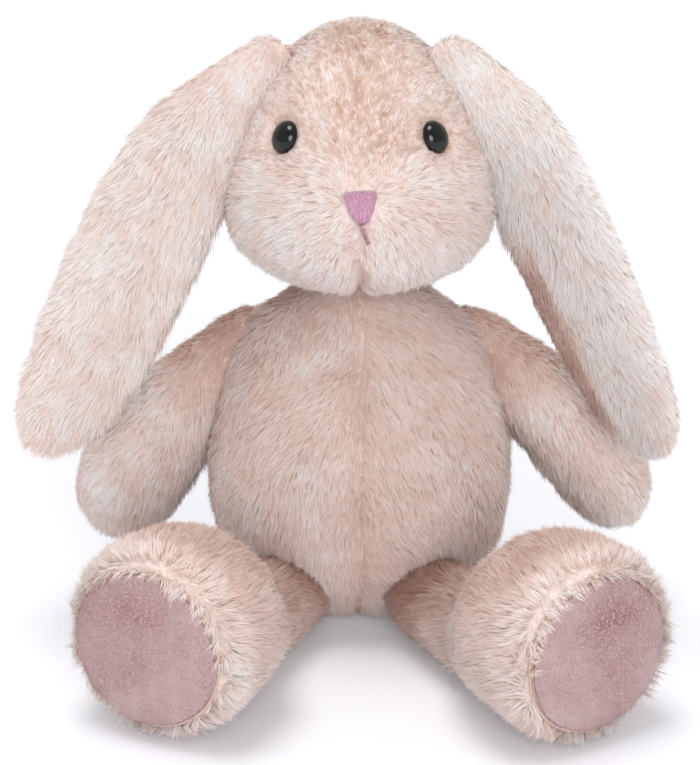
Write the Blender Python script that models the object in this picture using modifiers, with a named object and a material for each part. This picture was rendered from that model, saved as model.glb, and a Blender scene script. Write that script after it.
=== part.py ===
"""A sitting plush rabbit with long hanging ears, sewn arms and legs, and safety eyes.

Metres, +Z up. The toy faces -Y and sits on the plane Z = 0, with the origin on the flat of
its seat. Left and right are as seen from the front: left is -X.
Each cover is a shell of pile and backing round its own filling, open where it is sewn on.
"""

import math

import bmesh
import bpy
from mathutils import Matrix, Vector
from mathutils.bvhtree import BVHTree

MM = 0.001

# Cloth, filling and fits
COVER = 5.0 * MM            # pile and backing of the body and head, pressed
LIMB_COVER = 3.0 * MM       # the same on the arms and legs
GAP = 0.3 * MM              # between pieces that touch
SEAT_CUT = 0.5              # how far the seat is pressed flat where it rests, in mm
BODY_SIDES = 10             # sides of a coarse section, doubled by the subdivision
LIMB_SIDES = 8
LINING_SIDES = 6
FACET = 2.0 * MM            # how far the corners of an inner form, left coarse, are drawn in

# Body: a pear, wide at the seat, with a dome for the neck
NECK_HEIGHT = 110.0 * MM    # height of the point that the head tilts about
NECK_DOME = 28.0 * MM       # radius of the dome that the head sits on
SEAT_SECTIONS = (           # height, half width, half depth, centre X and Y
    (-SEAT_CUT, 15, 13, 0, 7),
    (-SEAT_CUT / 2, 30, 26, 0, 7),
)
BODY_SECTIONS = (           # share of the neck's height, half width, half depth, centre X and Y
    (0.055, 44, 36, 0, 9),
    (0.20, 54.5, 47.5, 0, 4),
    (0.40, 59.5, 52, 0, 0),
    (0.62, 59, 50, 0, -2),
    (0.855, 53, 42.5, 0, -1),
    (1.018, 44.5, 33, 0, 0),
)
NECK_SECTIONS = (           # height over the neck point, half width, half depth, centre X and Y
    (11.5, 31, 25, 0, 0),
    (19, 21.5, 20.5, 0, 0),
    (25, 14, 14, 0, 0),
    (27.6, 6, 6, 0, 0),
)

# Head: an egg, widest at the cheeks, with the muzzle pushed out in front
HEAD_SECTIONS = (           # height over the neck point, half width, half depth, centre Y
    (22.5, 20, 20, -9),
    (26, 35, 33, -10),
    (34.5, 48, 45, -11),
    (47, 51, 47, -11),
    (61, 49.5, 46.5, -9),
    (81, 44.5, 43, -6),
    (101, 32, 33, -2),
    (110.5, 18, 20, -1),
    (114, 7, 8, -1),
)
MUZZLE_AT = Vector((0.0, -52.0, 46.0)) * MM    # from the neck point
MUZZLE_REACH = 24.0 * MM
MUZZLE_OUT = 9.0 * MM

# Ears: leaves in a plane that leans forward, so that they hang in front of the arms
EAR_ACROSS = 33.0 * MM      # from the middle plane to the ear's hinge
EAR_FRONT = 8.0 * MM        # how far in front of the neck point the hinge is
EAR_RISE = 98.0 * MM        # how far over the neck point it is
EAR_LEAN = math.radians(11.0)
EAR_ROOT = 12.0 * MM        # radius of the rounded root, held in a slot of the head
EAR_SLOT = 5.4 * MM         # half the slot's width
EAR_HANG = {"left": math.radians(31.0), "right": math.radians(28.0)}
EAR_SECTIONS = (            # along the ear, half width, half thickness, sideways from its line
    (-12, 5, 4.5, 0),
    (-8.5, 11, 5.5, 0),
    (4, 13.5, 5.8, 3),
    (24, 19, 6, 8),
    (50, 23.5, 6.5, 8.5),
    (92, 25, 7, 4),
    (134, 20.5, 6, 0.5),
    (151, 13.5, 4.5, 1.5),
    (158, 6, 3, 1.5),
)
EAR_ROLL = {"left": 0.0, "right": math.radians(40.0)}   # the right ear turns its edge forward
EAR_ROLL_START = 6.0        # where along the ear the roll starts and where it is whole, in mm
EAR_ROLL_WHOLE = 48.0
LINING_INSET = 6.0 * MM     # how far the plush turns round the ear's edge
LINING_BACK = 3.6 * MM      # how far behind the ear's middle the lining lies
LINING_THICK = 0.5          # share of the ear's thickness that the lining takes

# Arms
SHOULDER_ACROSS = 42.0 * MM
SHOULDER_BACK = 6.0 * MM
SHOULDER_DROP = 8.0 * MM    # how far under the neck point
SHOULDER_BALL = 15.5 * MM
ARM_HANG = {"left": math.radians(36.0), "right": math.radians(41.0)}
ARM_QUARTER = {"left": False, "right": True}    # the right paw is turned a quarter round
ARM_SECTIONS = (            # along the arm, half width, half depth, sideways
    (-15, 4.5, 4.5, 0),
    (-10.5, 11.5, 11.5, 0),
    (3, 15.5, 15.5, 1),
    (33, 20, 18.5, 5),
    (56, 23, 20, 5),
    (74, 22.5, 19, 3),
    (87, 17, 14, 1.5),
    (92, 8, 6, 1),
)

# Legs: a short tube that opens into a large upright foot
HIP_ACROSS = 25.0 * MM
HIP_FRONT = 28.0 * MM
HIP_HEIGHT = 17.5 * MM
HIP_BALL = 16.5 * MM
HIP_FORWARD = {"left": -1.0 * MM, "right": 7.0 * MM}    # the toy sits a little turned
LEG_SPLAY = {"left": math.radians(28.0), "right": math.radians(33.0)}
LEG_SECTIONS = (            # along the leg, half width, half height, height over the hip
    (-16, 5, 5, 0),
    (-11, 12.5, 12.5, 0),
    (2, 16, 16, 0),
    (20, 16.5, 16.5, 0),
    (39, 18, 18, 1),
    (52, 26, 27, 9.5),
    (64, 35.5, 35, 17),
    (82, 37, 36.5, 18),
    (96, 35, 35, 17),
    (105, 24, 25, 16.5),
)
LEG_UP = math.radians(15.0)     # how far a leg swings up before the foot meets the belly
ROOT_OPENING = 5.0 * MM     # radius of the hole in a limb's root that the filling goes in by
FOOT_FRONT = 99.0 * MM      # where the sole is sewn on, along the leg
SOLE_INSET = 4.0 * MM       # the foot's edge round the sole
SOLE_THICK = 3.0 * MM

# Safety eyes
EYE_RADIUS = 6.0 * MM
EYE_DOME = 4.2 * MM         # how far the dome stands out
EYE_SINK = 2.6 * MM         # how deep its back sits in the pile
EYE_ACROSS = 27.6 * MM
EYE_RISE = 80.5 * MM        # over the neck point
SHANK_RADIUS = 1.6 * MM
SHANK_LENGTH = 13.0 * MM
SHANK_RIBS = 4
RIB_DEPTH = 0.25 * MM
WASHER_RADIUS = 7.5 * MM
WASHER_THICK = 1.4 * MM

# Nose and mouth
NOSE_RISE = 61.0 * MM       # over the neck point
NOSE_TOP = 6.7 * MM         # half the width at the top
NOSE_LOW = 2.6 * MM         # half the width at the bottom
NOSE_TALL = 5.8 * MM        # half the height
NOSE_PROUD = 1.6 * MM
THREAD = 0.55 * MM          # radius of the mouth's thread
MOUTH_LENGTH = 6.5 * MM

# Tail
TAIL_RADIUS = 17.0 * MM
TAIL_BACK = 55.0 * MM
TAIL_HEIGHT = 26.0 * MM

SIDES = {"left": -1.0, "right": 1.0}
FAR = 0.4                   # longer than the toy, for cutting planes


def material(name, colour, roughness):
    """A Principled BSDF material; colour is linear."""
    made = bpy.data.materials.new(name)
    made.use_nodes = True
    shader = made.node_tree.nodes["Principled BSDF"]
    shader.inputs["Base Color"].default_value = (*colour, 1.0)
    shader.inputs["Roughness"].default_value = roughness
    shader.inputs["Metallic"].default_value = 0.0
    return made


class Workshop:
    """The toy's collection, the cutters' collection and the materials."""

    def __init__(self):
        for old in list(bpy.data.objects):
            bpy.data.objects.remove(old, do_unlink=True)
        self.toy = self.collection("plush_rabbit")
        self.cutters = self.collection("cutters")
        self.plush = material("plush_pile", (0.66, 0.45, 0.38), 0.95)
        self.filling = material("polyester_fibre", (0.85, 0.85, 0.83), 1.0)
        self.lining = material("ear_lining_pile", (0.62, 0.36, 0.33), 0.9)
        self.velour = material("sole_velour", (0.50, 0.27, 0.26), 0.85)
        self.black = material("eye_plastic", (0.012, 0.010, 0.010), 0.08)
        self.washer = material("washer_plastic", (0.75, 0.75, 0.72), 0.4)
        self.thread = material("mauve_thread", (0.42, 0.17, 0.22), 0.6)

    @staticmethod
    def collection(name):
        made = bpy.data.collections.new(name)
        bpy.context.scene.collection.children.link(made)
        return made

    def part(self, obj, finish, joint=None):
        """Puts obj in the toy, with a finish, moving with a joint's empty where it has one."""
        self.toy.objects.link(obj)
        obj.data.materials.append(finish)
        if joint is not None:
            obj.parent = joint
            obj.matrix_parent_inverse = joint.matrix_world.inverted()
        return obj

    def cutter(self, obj):
        """Puts obj among the cutters."""
        self.cutters.objects.link(obj)
        obj.hide_render = True
        obj.display_type = "WIRE"
        return obj


def mesh_object(name, bm, place):
    """An object at `place` made from a bmesh whose faces point outwards."""
    bmesh.ops.recalc_face_normals(bm, faces=bm.faces)
    mesh = bpy.data.meshes.new(name)
    bm.to_mesh(mesh)
    bm.free()
    mesh.shade_smooth()
    obj = bpy.data.objects.new(name, mesh)
    obj.matrix_world = place
    return obj


def ring_edges(verts):
    """The edges that join the vertices of one ring."""
    found = set(verts)
    return {edge for vert in verts for edge in vert.link_edges if edge.other_vert(vert) in found}


def loft_cage(sections, grow=0.0, sides=BODY_SIDES):
    """A closed coarse cage through oval sections (along Z, half X, half Y, shift), in mm.

    grow moves the skin outwards. Where it is negative the form is an inner one, and its faces
    are split the same way each time, so that a filling lies parallel to its hollow.
    """
    bm = bmesh.new()
    rings = []
    start = sections[0][0] * MM
    length = sections[-1][0] * MM - start
    stretch = (length + 2 * grow) / length
    for along, half_x, half_y, shift_x, shift_y in sections:
        ring = bmesh.ops.create_circle(bm, segments=sides, radius=1.0)["verts"]
        for vert in ring:
            vert.co.x = vert.co.x * max(half_x * MM + grow, MM) + shift_x * MM
            vert.co.y = vert.co.y * max(half_y * MM + grow, MM) + shift_y * MM
            vert.co.z = start - grow + (along * MM - start) * stretch
        rings.append(ring)
    for lower, upper in zip(rings, rings[1:]):
        bmesh.ops.bridge_loops(bm, edges=list(ring_edges(lower) | ring_edges(upper)))
    for ring in (rings[0], rings[-1]):
        bmesh.ops.contextual_create(bm, geom=ring)
    if grow < 0.0:
        bmesh.ops.triangulate(bm, faces=bm.faces, quad_method="FIXED")
    return bm


def smooth(obj):
    """Rounds a coarse cage by one level of subdivision. Hidden inner forms are left coarse."""
    subdivision = obj.modifiers.new("rounding", "SUBSURF")
    subdivision.levels = 1
    subdivision.render_levels = 1
    return obj


def boolean(obj, other, operation="DIFFERENCE"):
    """Cuts obj by another object, or keeps what they share."""
    change = obj.modifiers.new(f"{operation.lower()} {other.name}", "BOOLEAN")
    change.operation = operation
    change.solver = "EXACT"
    change.object = other
    return obj


def body_cage(name, grow=0.0):
    """The body's pear and the neck's dome, whose heights follow the neck's."""
    neck = NECK_HEIGHT / MM
    sections = list(SEAT_SECTIONS)
    sections += [(share * neck, *oval) for share, *oval in BODY_SECTIONS]
    sections += [(neck + rise, *oval) for rise, *oval in NECK_SECTIONS]
    return mesh_object(name, loft_cage(sections, grow), Matrix.Identity(4))


def body_form(name, grow=0.0):
    return smooth(body_cage(name, grow))


def head_cage(name, grow=0.0):
    """The head's egg, with the muzzle pushed out of the cage."""
    sections = [(z, a, b, 0.0, y) for z, a, b, y in HEAD_SECTIONS]
    bm = loft_cage(sections, grow)
    for vert in bm.verts:
        far = (vert.co - MUZZLE_AT).length / MUZZLE_REACH
        vert.co.y -= MUZZLE_OUT * math.exp(-far * far)
    return mesh_object(name, bm, Matrix.Translation((0.0, 0.0, NECK_HEIGHT)))


def head_form(name, grow=0.0):
    return smooth(head_cage(name, grow))


def limb_frame(pivot, direction, up):
    """A frame at pivot whose Z runs along the limb and whose Y is as near `up` as it can be."""
    z_axis = direction.normalized()
    x_axis = up.cross(z_axis).normalized()
    y_axis = z_axis.cross(x_axis)
    turned = Matrix((x_axis, y_axis, z_axis)).transposed().to_4x4()
    return Matrix.Translation(pivot) @ turned


def shoulder_point(side):
    """The middle of an arm's sewn root."""
    across = SHOULDER_ACROSS * SIDES[side]
    return Vector((across, SHOULDER_BACK, NECK_HEIGHT - SHOULDER_DROP))


def hip_point(side):
    """The middle of a leg's sewn root."""
    return Vector((HIP_ACROSS * SIDES[side], -HIP_FRONT - HIP_FORWARD[side], HIP_HEIGHT))


def roots():
    """The sewn root of each limb: its name, centre and the radius of its ball."""
    for side in SIDES:
        yield f"shoulder_{side}", shoulder_point(side), SHOULDER_BALL
        yield f"hip_{side}", hip_point(side), HIP_BALL


def arm_frame(side):
    hang = ARM_HANG[side]
    direction = Vector((SIDES[side] * math.sin(hang), 0.0, -math.cos(hang)))
    return limb_frame(shoulder_point(side), direction, Vector((0.0, -1.0, 0.0)))


def leg_frame(side):
    splay = LEG_SPLAY[side]
    direction = Vector((SIDES[side] * math.sin(splay), -math.cos(splay), 0.0))
    return limb_frame(hip_point(side), direction, Vector((0.0, 0.0, 1.0)))


def ear_frame(side):
    """The ear's plane leans forward; within it the ear hangs outwards by EAR_HANG."""
    hang = EAR_HANG[side]
    down = Vector((0.0, -math.sin(EAR_LEAN), -math.cos(EAR_LEAN)))
    direction = down * math.cos(hang) + Vector((SIDES[side] * math.sin(hang), 0.0, 0.0))
    normal = Vector((0.0, math.cos(EAR_LEAN), -math.sin(EAR_LEAN)))
    pivot = Vector((EAR_ACROSS * SIDES[side], -EAR_FRONT, NECK_HEIGHT + EAR_RISE))
    return limb_frame(pivot, direction, normal)


def ball(shop, name, radius, place, sides=14, outside=False):
    """A round cutter at a joint, whose facets lie inside the true ball, or outside it."""
    bm = bmesh.new()
    if outside:
        radius /= math.cos(math.pi / sides) ** 2
    bmesh.ops.create_uvsphere(bm, u_segments=sides, v_segments=sides // 2, radius=radius)
    return shop.cutter(mesh_object(name, bm, Matrix.Translation(place)))


def box(shop, name, low, high, place=Matrix.Identity(4)):
    """A box cutter between two corners of the frame `place`."""
    bm = bmesh.new()
    bmesh.ops.create_cube(bm, size=1.0)
    size = high - low
    for vert in bm.verts:
        vert.co = Vector([low[i] + size[i] * (vert.co[i] + 0.5) for i in range(3)])
    return shop.cutter(mesh_object(name, bm, place))


def disc(shop, name, radius, depth, place, sides=16):
    """A cylinder cutter about the frame's Z."""
    bm = bmesh.new()
    bmesh.ops.create_cone(
        bm, cap_ends=True, segments=sides, radius1=radius, radius2=radius, depth=depth
    )
    return shop.cutter(mesh_object(name, bm, place))


class Skin:
    """The head's outer surface, for placing what is set on it."""

    def __init__(self, form):
        graph = bpy.context.evaluated_depsgraph_get()
        mesh = form.evaluated_get(graph).to_mesh()
        points = [form.matrix_world @ vert.co for vert in mesh.vertices]
        self.tree = BVHTree.FromPolygons(points, [face.vertices for face in mesh.polygons])
        form.evaluated_get(graph).to_mesh_clear()

    def hit(self, x, height):
        """Where a line from straight ahead meets the face, and the normal there."""
        point, normal, _, _ = self.tree.ray_cast(Vector((x, -FAR, height)), Vector((0, 1, 0)))
        return point, normal

    def frame(self, x, height):
        """A frame on the face whose Z points out and whose Y points as near up as it can."""
        point, normal = self.hit(x, height)
        return limb_frame(point, normal, Vector((0.0, 0.0, 1.0)))


def joint_empty(shop, name, place, parent=None):
    """An empty on a joint's axis, which carries what moves there."""
    empty = bpy.data.objects.new(name, None)
    empty.empty_display_size = 10 * MM
    shop.toy.objects.link(empty)
    empty.matrix_world = place
    if parent is not None:
        empty.parent = parent
        empty.matrix_parent_inverse = parent.matrix_world.inverted()
    bpy.context.view_layer.update()
    return empty


def limb_sections(sections, outward):
    """Sections (along, half across, half deep, sideways), with sideways along local X."""
    return [(s, a, b, shift * outward, 0.0) for s, a, b, shift in sections]


def leg_sections():
    """The leg's sections, whose last number is a height above the hip, along local Y."""
    return [(s, a, b, 0.0, rise) for s, a, b, rise in LEG_SECTIONS]


def frozen(obj):
    """The mesh that an object's modifiers make."""
    bpy.context.view_layer.update()
    graph = bpy.context.evaluated_depsgraph_get()
    return bpy.data.meshes.new_from_object(obj.evaluated_get(graph))


def body_keepout(shop, name, extra=0.0):
    """What a limb may not fill: the body and a gap, less the balls of the sewn roots."""
    keepout = shop.cutter(body_form(name, GAP + extra))
    for root, centre, radius in roots():
        boolean(keepout, ball(shop, f"{name}_{root}", radius - extra, centre))
    return keepout


def swung(shop, keepout, pivot, axis, angle):
    """A copy of a keep-out as a limb meets it when it swings by the angle about its root."""
    copy = shop.cutter(bpy.data.objects.new(f"{keepout.name}_swung", frozen(keepout)))
    there = Matrix.Translation(pivot)
    copy.matrix_world = there @ Matrix.Rotation(-angle, 4, axis) @ there.inverted()
    return copy


def build_body(shop, sockets, floor):
    """The body's cover, open at the neck and at each limb, and its filling."""
    cover = shop.part(body_form("body_cover"), shop.plush)
    stuffing = shop.part(body_cage("body_stuffing", -COVER - FACET - GAP), shop.filling)
    boolean(cover, shop.cutter(body_cage("body_hollow", -COVER - FACET)))
    top = Matrix.Translation((0.0, 0.0, NECK_HEIGHT + NECK_DOME))
    boolean(cover, disc(shop, "neck_opening", NECK_DOME / 2, NECK_DOME / 2, top))
    boolean(cover, floor)
    for socket in sockets:
        boolean(cover, socket)
        boolean(stuffing, socket)


def build_head(shop, neck, slots):
    """The head's cover and filling, with the neck's dish and the ears' slots."""
    centre = Vector((0.0, 0.0, NECK_HEIGHT))
    dish = ball(shop, "neck_dish", NECK_DOME + GAP, centre, 20, True)
    inner_dish = ball(shop, "stuffing_dish", NECK_DOME + 2 * GAP, centre, 20, True)
    cover = shop.part(head_form("head_cover"), shop.plush, neck)
    stuffing = shop.part(head_cage("head_stuffing", -COVER - FACET - GAP), shop.filling, neck)
    boolean(cover, shop.cutter(head_cage("head_hollow", -COVER - FACET)))
    boolean(cover, dish)
    boolean(stuffing, inner_dish)
    for slot in slots:
        boolean(cover, slot)
        boolean(stuffing, slot)
    return cover, stuffing


def eye_profile():
    """The eye's half outline, from the dome's top down its outer side to the shank's end."""
    steps = 6
    points = []
    for step in range(steps + 1):
        angle = math.pi / 2 * step / steps
        points.append((EYE_RADIUS * math.sin(angle), EYE_DOME * math.cos(angle)))
    rim = EYE_DOME / 5
    points.append((EYE_RADIUS - rim / 2, -rim))
    points.append((SHANK_RADIUS + RIB_DEPTH, -rim))
    rib = (SHANK_LENGTH - rim) / (2 * SHANK_RIBS)
    for step in range(1, 2 * SHANK_RIBS):
        out = 0.0 if step % 2 else RIB_DEPTH
        points.append((SHANK_RADIUS + out, -rim - rib * step))
    points.append((SHANK_RADIUS, -SHANK_LENGTH))
    points.append((0.0, -SHANK_LENGTH))
    return points


def turned(name, profile, place, steps=16):
    """A profile turned about the frame's Z."""
    bm = bmesh.new()
    verts = [bm.verts.new((radius, 0.0, height)) for radius, height in profile]
    for upper, lower in zip(verts, verts[1:]):
        bm.edges.new((upper, lower))
    mesh = bpy.data.meshes.new(name)
    bm.to_mesh(mesh)
    bm.free()
    obj = bpy.data.objects.new(name, mesh)
    obj.matrix_world = place
    screw = obj.modifiers.new("turn", "SCREW")
    screw.steps = steps
    screw.render_steps = steps
    screw.use_merge_vertices = True
    screw.merge_threshold = MM / 1000
    screw.use_smooth_shade = True
    return obj


def build_eye(shop, skin, side, head, neck):
    """A safety eye sunk in the pile, with the washer that holds its shank inside the head."""
    cover, stuffing = head
    seat = skin.frame(EYE_ACROSS * SIDES[side], NECK_HEIGHT + EYE_RISE)
    eye_place = seat @ Matrix.Translation((0.0, 0.0, -EYE_SINK))
    shop.part(turned(f"eye_{side}", eye_profile(), eye_place), shop.black, neck)

    recess = seat @ Matrix.Translation((0.0, 0.0, -EYE_SINK + EYE_RADIUS - GAP - EYE_DOME / 5))
    boolean(cover, disc(shop, f"eye_recess_{side}", EYE_RADIUS + GAP, 2 * EYE_RADIUS, recess))
    bore = SHANK_RADIUS + RIB_DEPTH + GAP
    length = SHANK_LENGTH + GAP
    hole_at = eye_place @ Matrix.Translation((0.0, 0.0, -length / 2))
    hole = disc(shop, f"shank_hole_{side}", bore, length, hole_at)

    washer_at = seat @ Matrix.Translation((0.0, 0.0, -COVER - GAP - WASHER_THICK / 2))
    washer = (
        (WASHER_RADIUS, WASHER_THICK / 2),
        (WASHER_RADIUS, -WASHER_THICK / 2),
        (bore, -WASHER_THICK / 2),
        (bore, WASHER_THICK / 2),
        (WASHER_RADIUS, WASHER_THICK / 2),
    )
    shop.part(turned(f"eye_washer_{side}", washer, washer_at), shop.washer, neck)
    pocket_depth = WASHER_THICK + 2 * GAP
    pocket = disc(shop, f"washer_pocket_{side}", WASHER_RADIUS + GAP, pocket_depth, washer_at)
    for piece in (cover, stuffing):
        boolean(piece, hole)
        boolean(piece, pocket)


def build_nose(shop, skin, neck, keepout):
    """A satin-stitched pad, wide at the top, that follows the muzzle."""
    bm = bmesh.new()
    bmesh.ops.create_uvsphere(bm, u_segments=16, v_segments=10, radius=1.0)
    for vert in bm.verts:
        x, y, z = vert.co
        square = (x ** 4 + y ** 4 + 1e-9) ** 0.25 / (math.hypot(x, y) + 1e-9)
        share = (y / max(square, 0.5) + 1.0) / 2.0
        vert.co.x = x / max(square, 0.5) * (NOSE_LOW + (NOSE_TOP - NOSE_LOW) * share)
        vert.co.y = y / max(square, 0.5) * NOSE_TALL
        vert.co.z = z * 2 * NOSE_PROUD
    pad = mesh_object("nose", bm, skin.frame(0.0, NECK_HEIGHT + NOSE_RISE))
    boolean(shop.part(pad, shop.thread, neck), keepout)


def build_mouth(shop, skin, neck):
    """One slanting stitch below the nose, lying on the pile."""
    top = NECK_HEIGHT + NOSE_RISE - NOSE_TALL - 2 * THREAD
    count = 5
    curve = bpy.data.curves.new("mouth_stitch", "CURVE")
    curve.dimensions = "3D"
    curve.bevel_depth = THREAD
    curve.bevel_resolution = 2
    curve.use_fill_caps = True
    spline = curve.splines.new("POLY")
    spline.points.add(count - 1)
    for index, point in enumerate(spline.points):
        share = index / (count - 1)
        place, normal = skin.hit(MOUTH_LENGTH * 0.4 * share, top - MOUTH_LENGTH * share)
        point.co = (*(place + normal * (THREAD + 2 * GAP)), 1.0)
    guide = bpy.data.objects.new("mouth_guide", curve)
    shop.cutters.objects.link(guide)
    bpy.context.view_layer.update()
    graph = bpy.context.evaluated_depsgraph_get()
    mesh = bpy.data.meshes.new_from_object(guide.evaluated_get(graph))
    bpy.data.objects.remove(guide)
    bm = bmesh.new()
    bm.from_mesh(mesh)
    bmesh.ops.remove_doubles(bm, verts=bm.verts, dist=MM / 100)
    shop.part(mesh_object("mouth_stitch", bm, Matrix.Identity(4)), shop.thread, neck)


def ear_slot(shop, side):
    """The head's slot that the ear's rounded root turns in."""
    sides = 16
    place = ear_frame(side) @ Matrix.Rotation(math.pi / 2, 4, "X")
    radius = (EAR_ROOT + GAP) / math.cos(math.pi / sides)
    return disc(shop, f"ear_slot_{side}", radius, 2 * (EAR_SLOT + GAP), place, sides)


def ear_keepout(shop, side):
    """What an ear may not fill: the head and a gap, less the root's slot."""
    keepout = shop.cutter(head_form(f"head_keepout_{side}", GAP))
    place = ear_frame(side) @ Matrix.Rotation(math.pi / 2, 4, "X")
    root = disc(shop, f"ear_root_{side}", EAR_ROOT, 2 * EAR_SLOT, place)
    return boolean(keepout, root)


def lining_cage(outward, grow=0.0):
    """The ear's sections drawn in from its edge and moved to its back."""
    made = []
    for along, half, thick, shift in EAR_SECTIONS[3:-1]:
        inset = half - LINING_INSET / MM
        made.append((along, inset, thick * LINING_THICK, shift * outward, LINING_BACK / MM))
    start, end = EAR_SECTIONS[3][0], EAR_SECTIONS[-2][0]
    first, last = made[0], made[-1]
    edge = LINING_INSET / MM / 2
    made.insert(0, (start - edge, first[1] / 2, first[2] / 2, first[3], first[4]))
    made.append((end + edge / 2, last[1] / 2, last[2] / 2, last[3], last[4]))
    return loft_cage(made, grow, LINING_SIDES)


def rolled(bm, angle):
    """An ear's cage rolled about its length, from nothing at its root."""
    for vert in bm.verts:
        share = (vert.co.z / MM - EAR_ROLL_START) / (EAR_ROLL_WHOLE - EAR_ROLL_START)
        vert.co.rotate(Matrix.Rotation(angle * min(max(share, 0.0), 1.0), 4, "Z"))
    return bm


def build_ear(shop, side, neck):
    """A plush ear with its lining let into the back, turning in a slot of the head."""
    place = ear_frame(side)
    joint = joint_empty(shop, f"ear_joint_{side}", place, neck)
    outward = -SIDES[side]

    def piece(label, cage):
        return smooth(mesh_object(f"{label}_{side}", rolled(cage, EAR_ROLL[side]), place))

    cage = loft_cage(limb_sections(EAR_SECTIONS, outward), sides=LIMB_SIDES)
    ear = shop.part(piece("ear", cage), shop.plush, joint)
    lining = shop.part(piece("ear_lining", lining_cage(outward)), shop.lining, joint)
    boolean(ear, shop.cutter(piece("lining_room", lining_cage(outward, GAP))))
    keepout = ear_keepout(shop, side)
    boolean(ear, keepout)
    boolean(lining, keepout)


def stuffed_limb(shop, name, side, sections, place, joint, keepouts):
    """A limb's cover, open at its sewn root, and its filling, both clear of the body.

    keepouts holds, for the cover, its hollow and its filling, what each may not fill.
    """
    def cage(label, grow):
        return mesh_object(label, loft_cage(sections, grow, LIMB_SIDES), place)

    inner = -LIMB_COVER - FACET
    cover = shop.part(smooth(cage(f"{name}_{side}", 0.0)), shop.plush, joint)
    hollow = shop.cutter(cage(f"{name}_hollow_{side}", inner))
    stuffing = shop.part(cage(f"{name}_stuffing_{side}", inner - GAP), shop.filling, joint)
    for piece, around in zip((cover, hollow, stuffing), keepouts):
        for keepout in around:
            boolean(piece, keepout)
    boolean(cover, hollow)
    root = sections[0][0] * MM
    mouth = place @ Matrix.Translation((0.0, 0.0, root))
    boolean(cover, disc(shop, f"{name}_opening_{side}", ROOT_OPENING, -root, mouth))
    return cover, stuffing


def build_arm(shop, side, keepouts):
    place = arm_frame(side)
    joint = joint_empty(shop, f"shoulder_joint_{side}", place)
    sections = limb_sections(ARM_SECTIONS, SIDES[side])
    if ARM_QUARTER[side]:
        sections = [(s, deep, wide, shift, rise) for s, wide, deep, shift, rise in sections]
    around = [[keepout] for keepout in keepouts]
    stuffed_limb(shop, "arm", side, sections, place, joint, around)


def build_leg(shop, side, keepouts, floor):
    """A leg that opens into a foot, whose front the sole closes."""
    place = leg_frame(side)
    joint = joint_empty(shop, f"hip_joint_{side}", place)
    forward = place.col[2].to_3d()
    axis = forward.cross(Vector((0.0, 0.0, 1.0)))
    pivot = hip_point(side)
    around = [[keepout, swung(shop, keepout, pivot, axis, LEG_UP)] for keepout in keepouts]
    cover, stuffing = stuffed_limb(shop, "leg", side, leg_sections(), place, joint, around)
    beyond = Vector((FAR, FAR, FAR))
    front = box(shop, f"foot_front_{side}", Vector((-FAR, -FAR, FOOT_FRONT)), beyond, place)
    boolean(cover, front)
    boolean(stuffing, front)
    boolean(cover, floor)
    wide, tall, rise = LEG_SECTIONS[-2][1:]
    inset = SOLE_INSET / MM
    edge = (FOOT_FRONT + GAP) / MM
    thick = SOLE_THICK / MM
    sole = (
        (edge, wide - inset, tall - inset, 0.0, rise),
        (edge + thick * 0.6, wide - inset, tall - inset, 0.0, rise),
        (edge + thick, wide - 3 * inset, tall - 3 * inset, 0.0, rise),
    )
    plate = smooth(mesh_object(f"sole_{side}", loft_cage(sole, sides=LIMB_SIDES), place))
    shop.part(plate, shop.velour, joint)


def build_tail(shop, keepout):
    """A plush ball on the back of the body."""
    bm = bmesh.new()
    bmesh.ops.create_uvsphere(bm, u_segments=16, v_segments=10, radius=TAIL_RADIUS)
    place = Matrix.Translation((0.0, TAIL_BACK, TAIL_HEIGHT))
    boolean(shop.part(mesh_object("tail", bm, place), shop.plush), keepout)


def main():
    shop = Workshop()
    floor = box(shop, "floor", Vector((-FAR, -FAR, -FAR)), Vector((FAR, FAR, 0.0)))
    sockets = [
        ball(shop, f"{root}_socket", radius + GAP, centre, outside=True)
        for root, centre, radius in roots()
    ]
    build_body(shop, sockets, floor)

    keepouts = [
        body_keepout(shop, "body_keepout"),
        body_keepout(shop, "hollow_keepout", LIMB_COVER),
        body_keepout(shop, "stuffing_keepout", LIMB_COVER + GAP),
    ]
    neck = joint_empty(shop, "neck_joint", Matrix.Translation((0.0, 0.0, NECK_HEIGHT)))
    head = build_head(shop, neck, [ear_slot(shop, side) for side in SIDES])
    face = shop.cutter(head_form("face_keepout", GAP))
    form = shop.cutter(head_form("face_form"))
    bpy.context.view_layer.update()
    skin = Skin(form)
    for side in SIDES:
        build_eye(shop, skin, side, head, neck)
        build_ear(shop, side, neck)
        build_arm(shop, side, keepouts)
        build_leg(shop, side, keepouts, floor)
    build_nose(shop, skin, neck, face)
    build_mouth(shop, skin, neck)
    build_tail(shop, keepouts[0])


main()
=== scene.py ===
"""A sitting plush rabbit: cloth skins, pile grown strand by strand, and sewn and moulded trims.

Metres, +Z up; the toy faces -Y. Left and right are as seen from the front: left is -X.
The forms repeat the solids' sections, so that each skin lies just inside its solid.
"""

import logging
import math
from collections.abc import Callable, Sequence
from dataclasses import dataclass, field
from enum import Enum
from typing import NamedTuple

import bmesh
import bpy
import numpy as np
from mathutils import Matrix, Vector
from mathutils.bvhtree import BVHTree


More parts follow.
